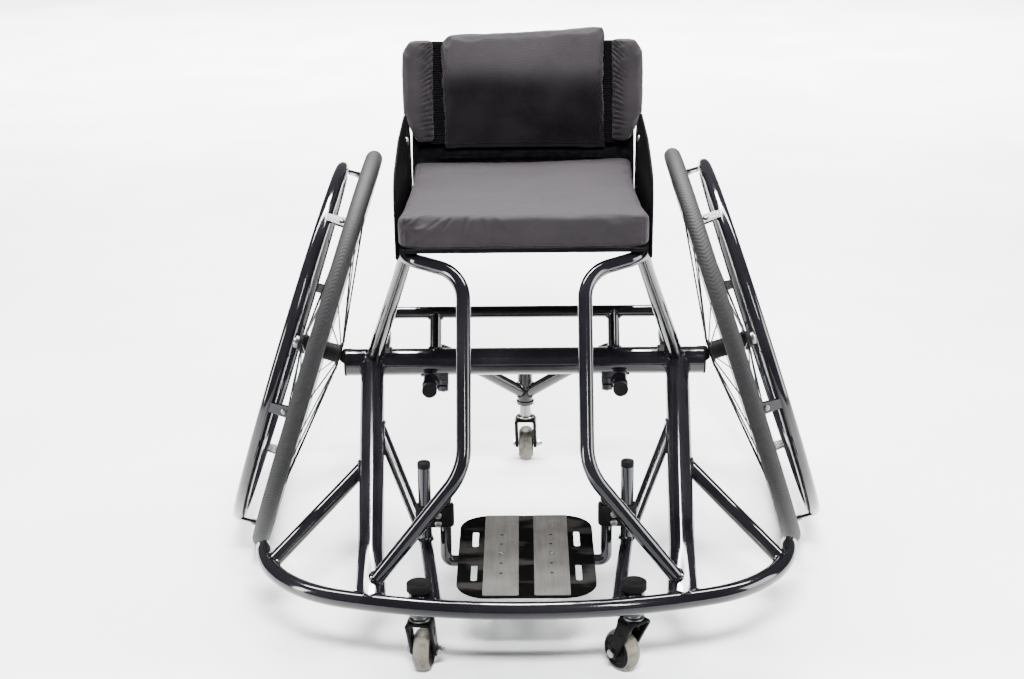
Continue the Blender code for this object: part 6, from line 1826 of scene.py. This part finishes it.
# %% Every welded joint of the left side
camber_line = (Vector((0, 0, CAMBER_TUBE_Z)), Vector((1, 0, 0)), CAMBER_TUBE_RADIUS)
main_line = (main_axis(0), main_axis(-0.4) - main_axis(0), MAIN_RADIUS)
seat_line = (SEAT_CORNER, SEAT_BACKWARD, SIDE_TUBE_RADIUS)
strut_line = (REAR_STRUT_FOOT, REAR_STRUT_TOP - REAR_STRUT_FOOT, STRUT_RADII[1])
cane_up = BACK.to_3x3() @ UP
cane_line = (CANE_FOOT, cane_up, CANE_RADIUS)
cross_foot = Vector((CROSS_POST_X, 0, CAMBER_TUBE_Z))
cross_head = Vector((CROSS_POST_X, *CROSS_JOIN.yz))
bar_end = BACK @ Vector((SEAT_CORNER.x, 0, BACK_BAR_HEIGHT))
joints = [
    saddle(main_axis(-0.3), bumper_at(MAIN_FOOT_X), MAIN_FOOT_HALVES, bumper_at(MAIN_FOOT_X),
           bumper_way(MAIN_FOOT_X), BUMPER_RADIUS),
    saddle(main_axis(-0.3), main_axis(0), MAIN_RADIUS, *camber_line),
    saddle(BRACE_TOP, BRACE_FOOT, BRACE_RADIUS, BRACE_FOOT,
           (math.cos(BRACE_TURN), math.sin(BRACE_TURN), 0), BUMPER_RADIUS),
    saddle(BRACE_FOOT, BRACE_TOP, BRACE_RADIUS, *main_line),
    saddle(RAIL_BEND, RAIL_FOOT, RAIL_RADIUS, RAIL_FOOT, bumper_way(RAIL_FOOT_X), BUMPER_RADIUS),
    saddle(RAIL_BEND, RAIL_TOP, RAIL_RADIUS, *main_line),
    saddle(HOOP_KNEE, HOOP_FOOT, SIDE_TUBE_RADIUS, HOOP_FOOT, main_axis(-0.4) - main_axis(0), 0.0152),
    saddle(RAIL_BEND + UP * 0.1, RAIL_BEND, RAIL_RADIUS, RAIL_BEND, RAIL_FOOT - RAIL_TOP, RAIL_RADIUS + 0.0004),
    saddle(STRUT_TOP, STRUT_FOOT, STRUT_RADII[0], *camber_line),
    saddle(STRUT_FOOT, STRUT_TOP, STRUT_RADII[1], *seat_line),
    saddle(REAR_STRUT_TOP, REAR_STRUT_FOOT, STRUT_RADII[1], *camber_line),
    saddle(REAR_STRUT_FOOT, REAR_STRUT_TOP, STRUT_RADII[1], *seat_line),
    saddle((0, *CROSS_JOIN.yz), CROSS_JOIN, CROSS_BAR_RADIUS, *strut_line),
    saddle(cross_head, cross_foot, CROSS_BAR_RADIUS, *camber_line),
    saddle(cross_foot, cross_head, CROSS_BAR_RADIUS, CROSS_JOIN, (1, 0, 0), CROSS_BAR_RADIUS),
    saddle(CANE_FOOT + cane_up * 0.1, CANE_FOOT, CANE_RADIUS, *seat_line),
    saddle(BACK @ Vector((0, 0, BACK_BAR_HEIGHT)), bar_end, BACK_BAR_RADIUS, *cane_line),
    box_line(LUG_HALF + 0.0004, LUG_WIDTH / 2 + 0.0002, LUG_X, 1),
    box_line(CLAMP_RADIUS, CLAMP_RADIUS, ANTI_TIP_X, -1),
    barrel_line(),
]


def welded(name, lines, body):
    paths = [on_side(line, side) for line in lines for _, side in SIDES]
    mesh = ROWS.grow(bare_path(paths), Pitch=BEAD_PITCH, Width=BEAD_RADIUS, Stretch=0.7, Uneven=0.2, Seed=11,
        Finish=GLOSS.material)
    made = Piece().add(mesh).done(name, GLOSS, body, merge=False)
    print(name, len(made.data.polygons), "faces")


welded("weld_beads_frame", joints, "frame")
leg_bend = Vector((ANTI_TIP_X, ANTI_TIP_BEND_Y, ANTI_TIP_Z))
rear_joint = saddle(leg_bend, ANTI_TIP_JOIN, ANTI_TIP_RADIUS, ANTI_TIP_JOIN, UP, REAR_BARREL_RADIUS)
welded("weld_beads_anti_tip", [rear_joint], "anti_tip")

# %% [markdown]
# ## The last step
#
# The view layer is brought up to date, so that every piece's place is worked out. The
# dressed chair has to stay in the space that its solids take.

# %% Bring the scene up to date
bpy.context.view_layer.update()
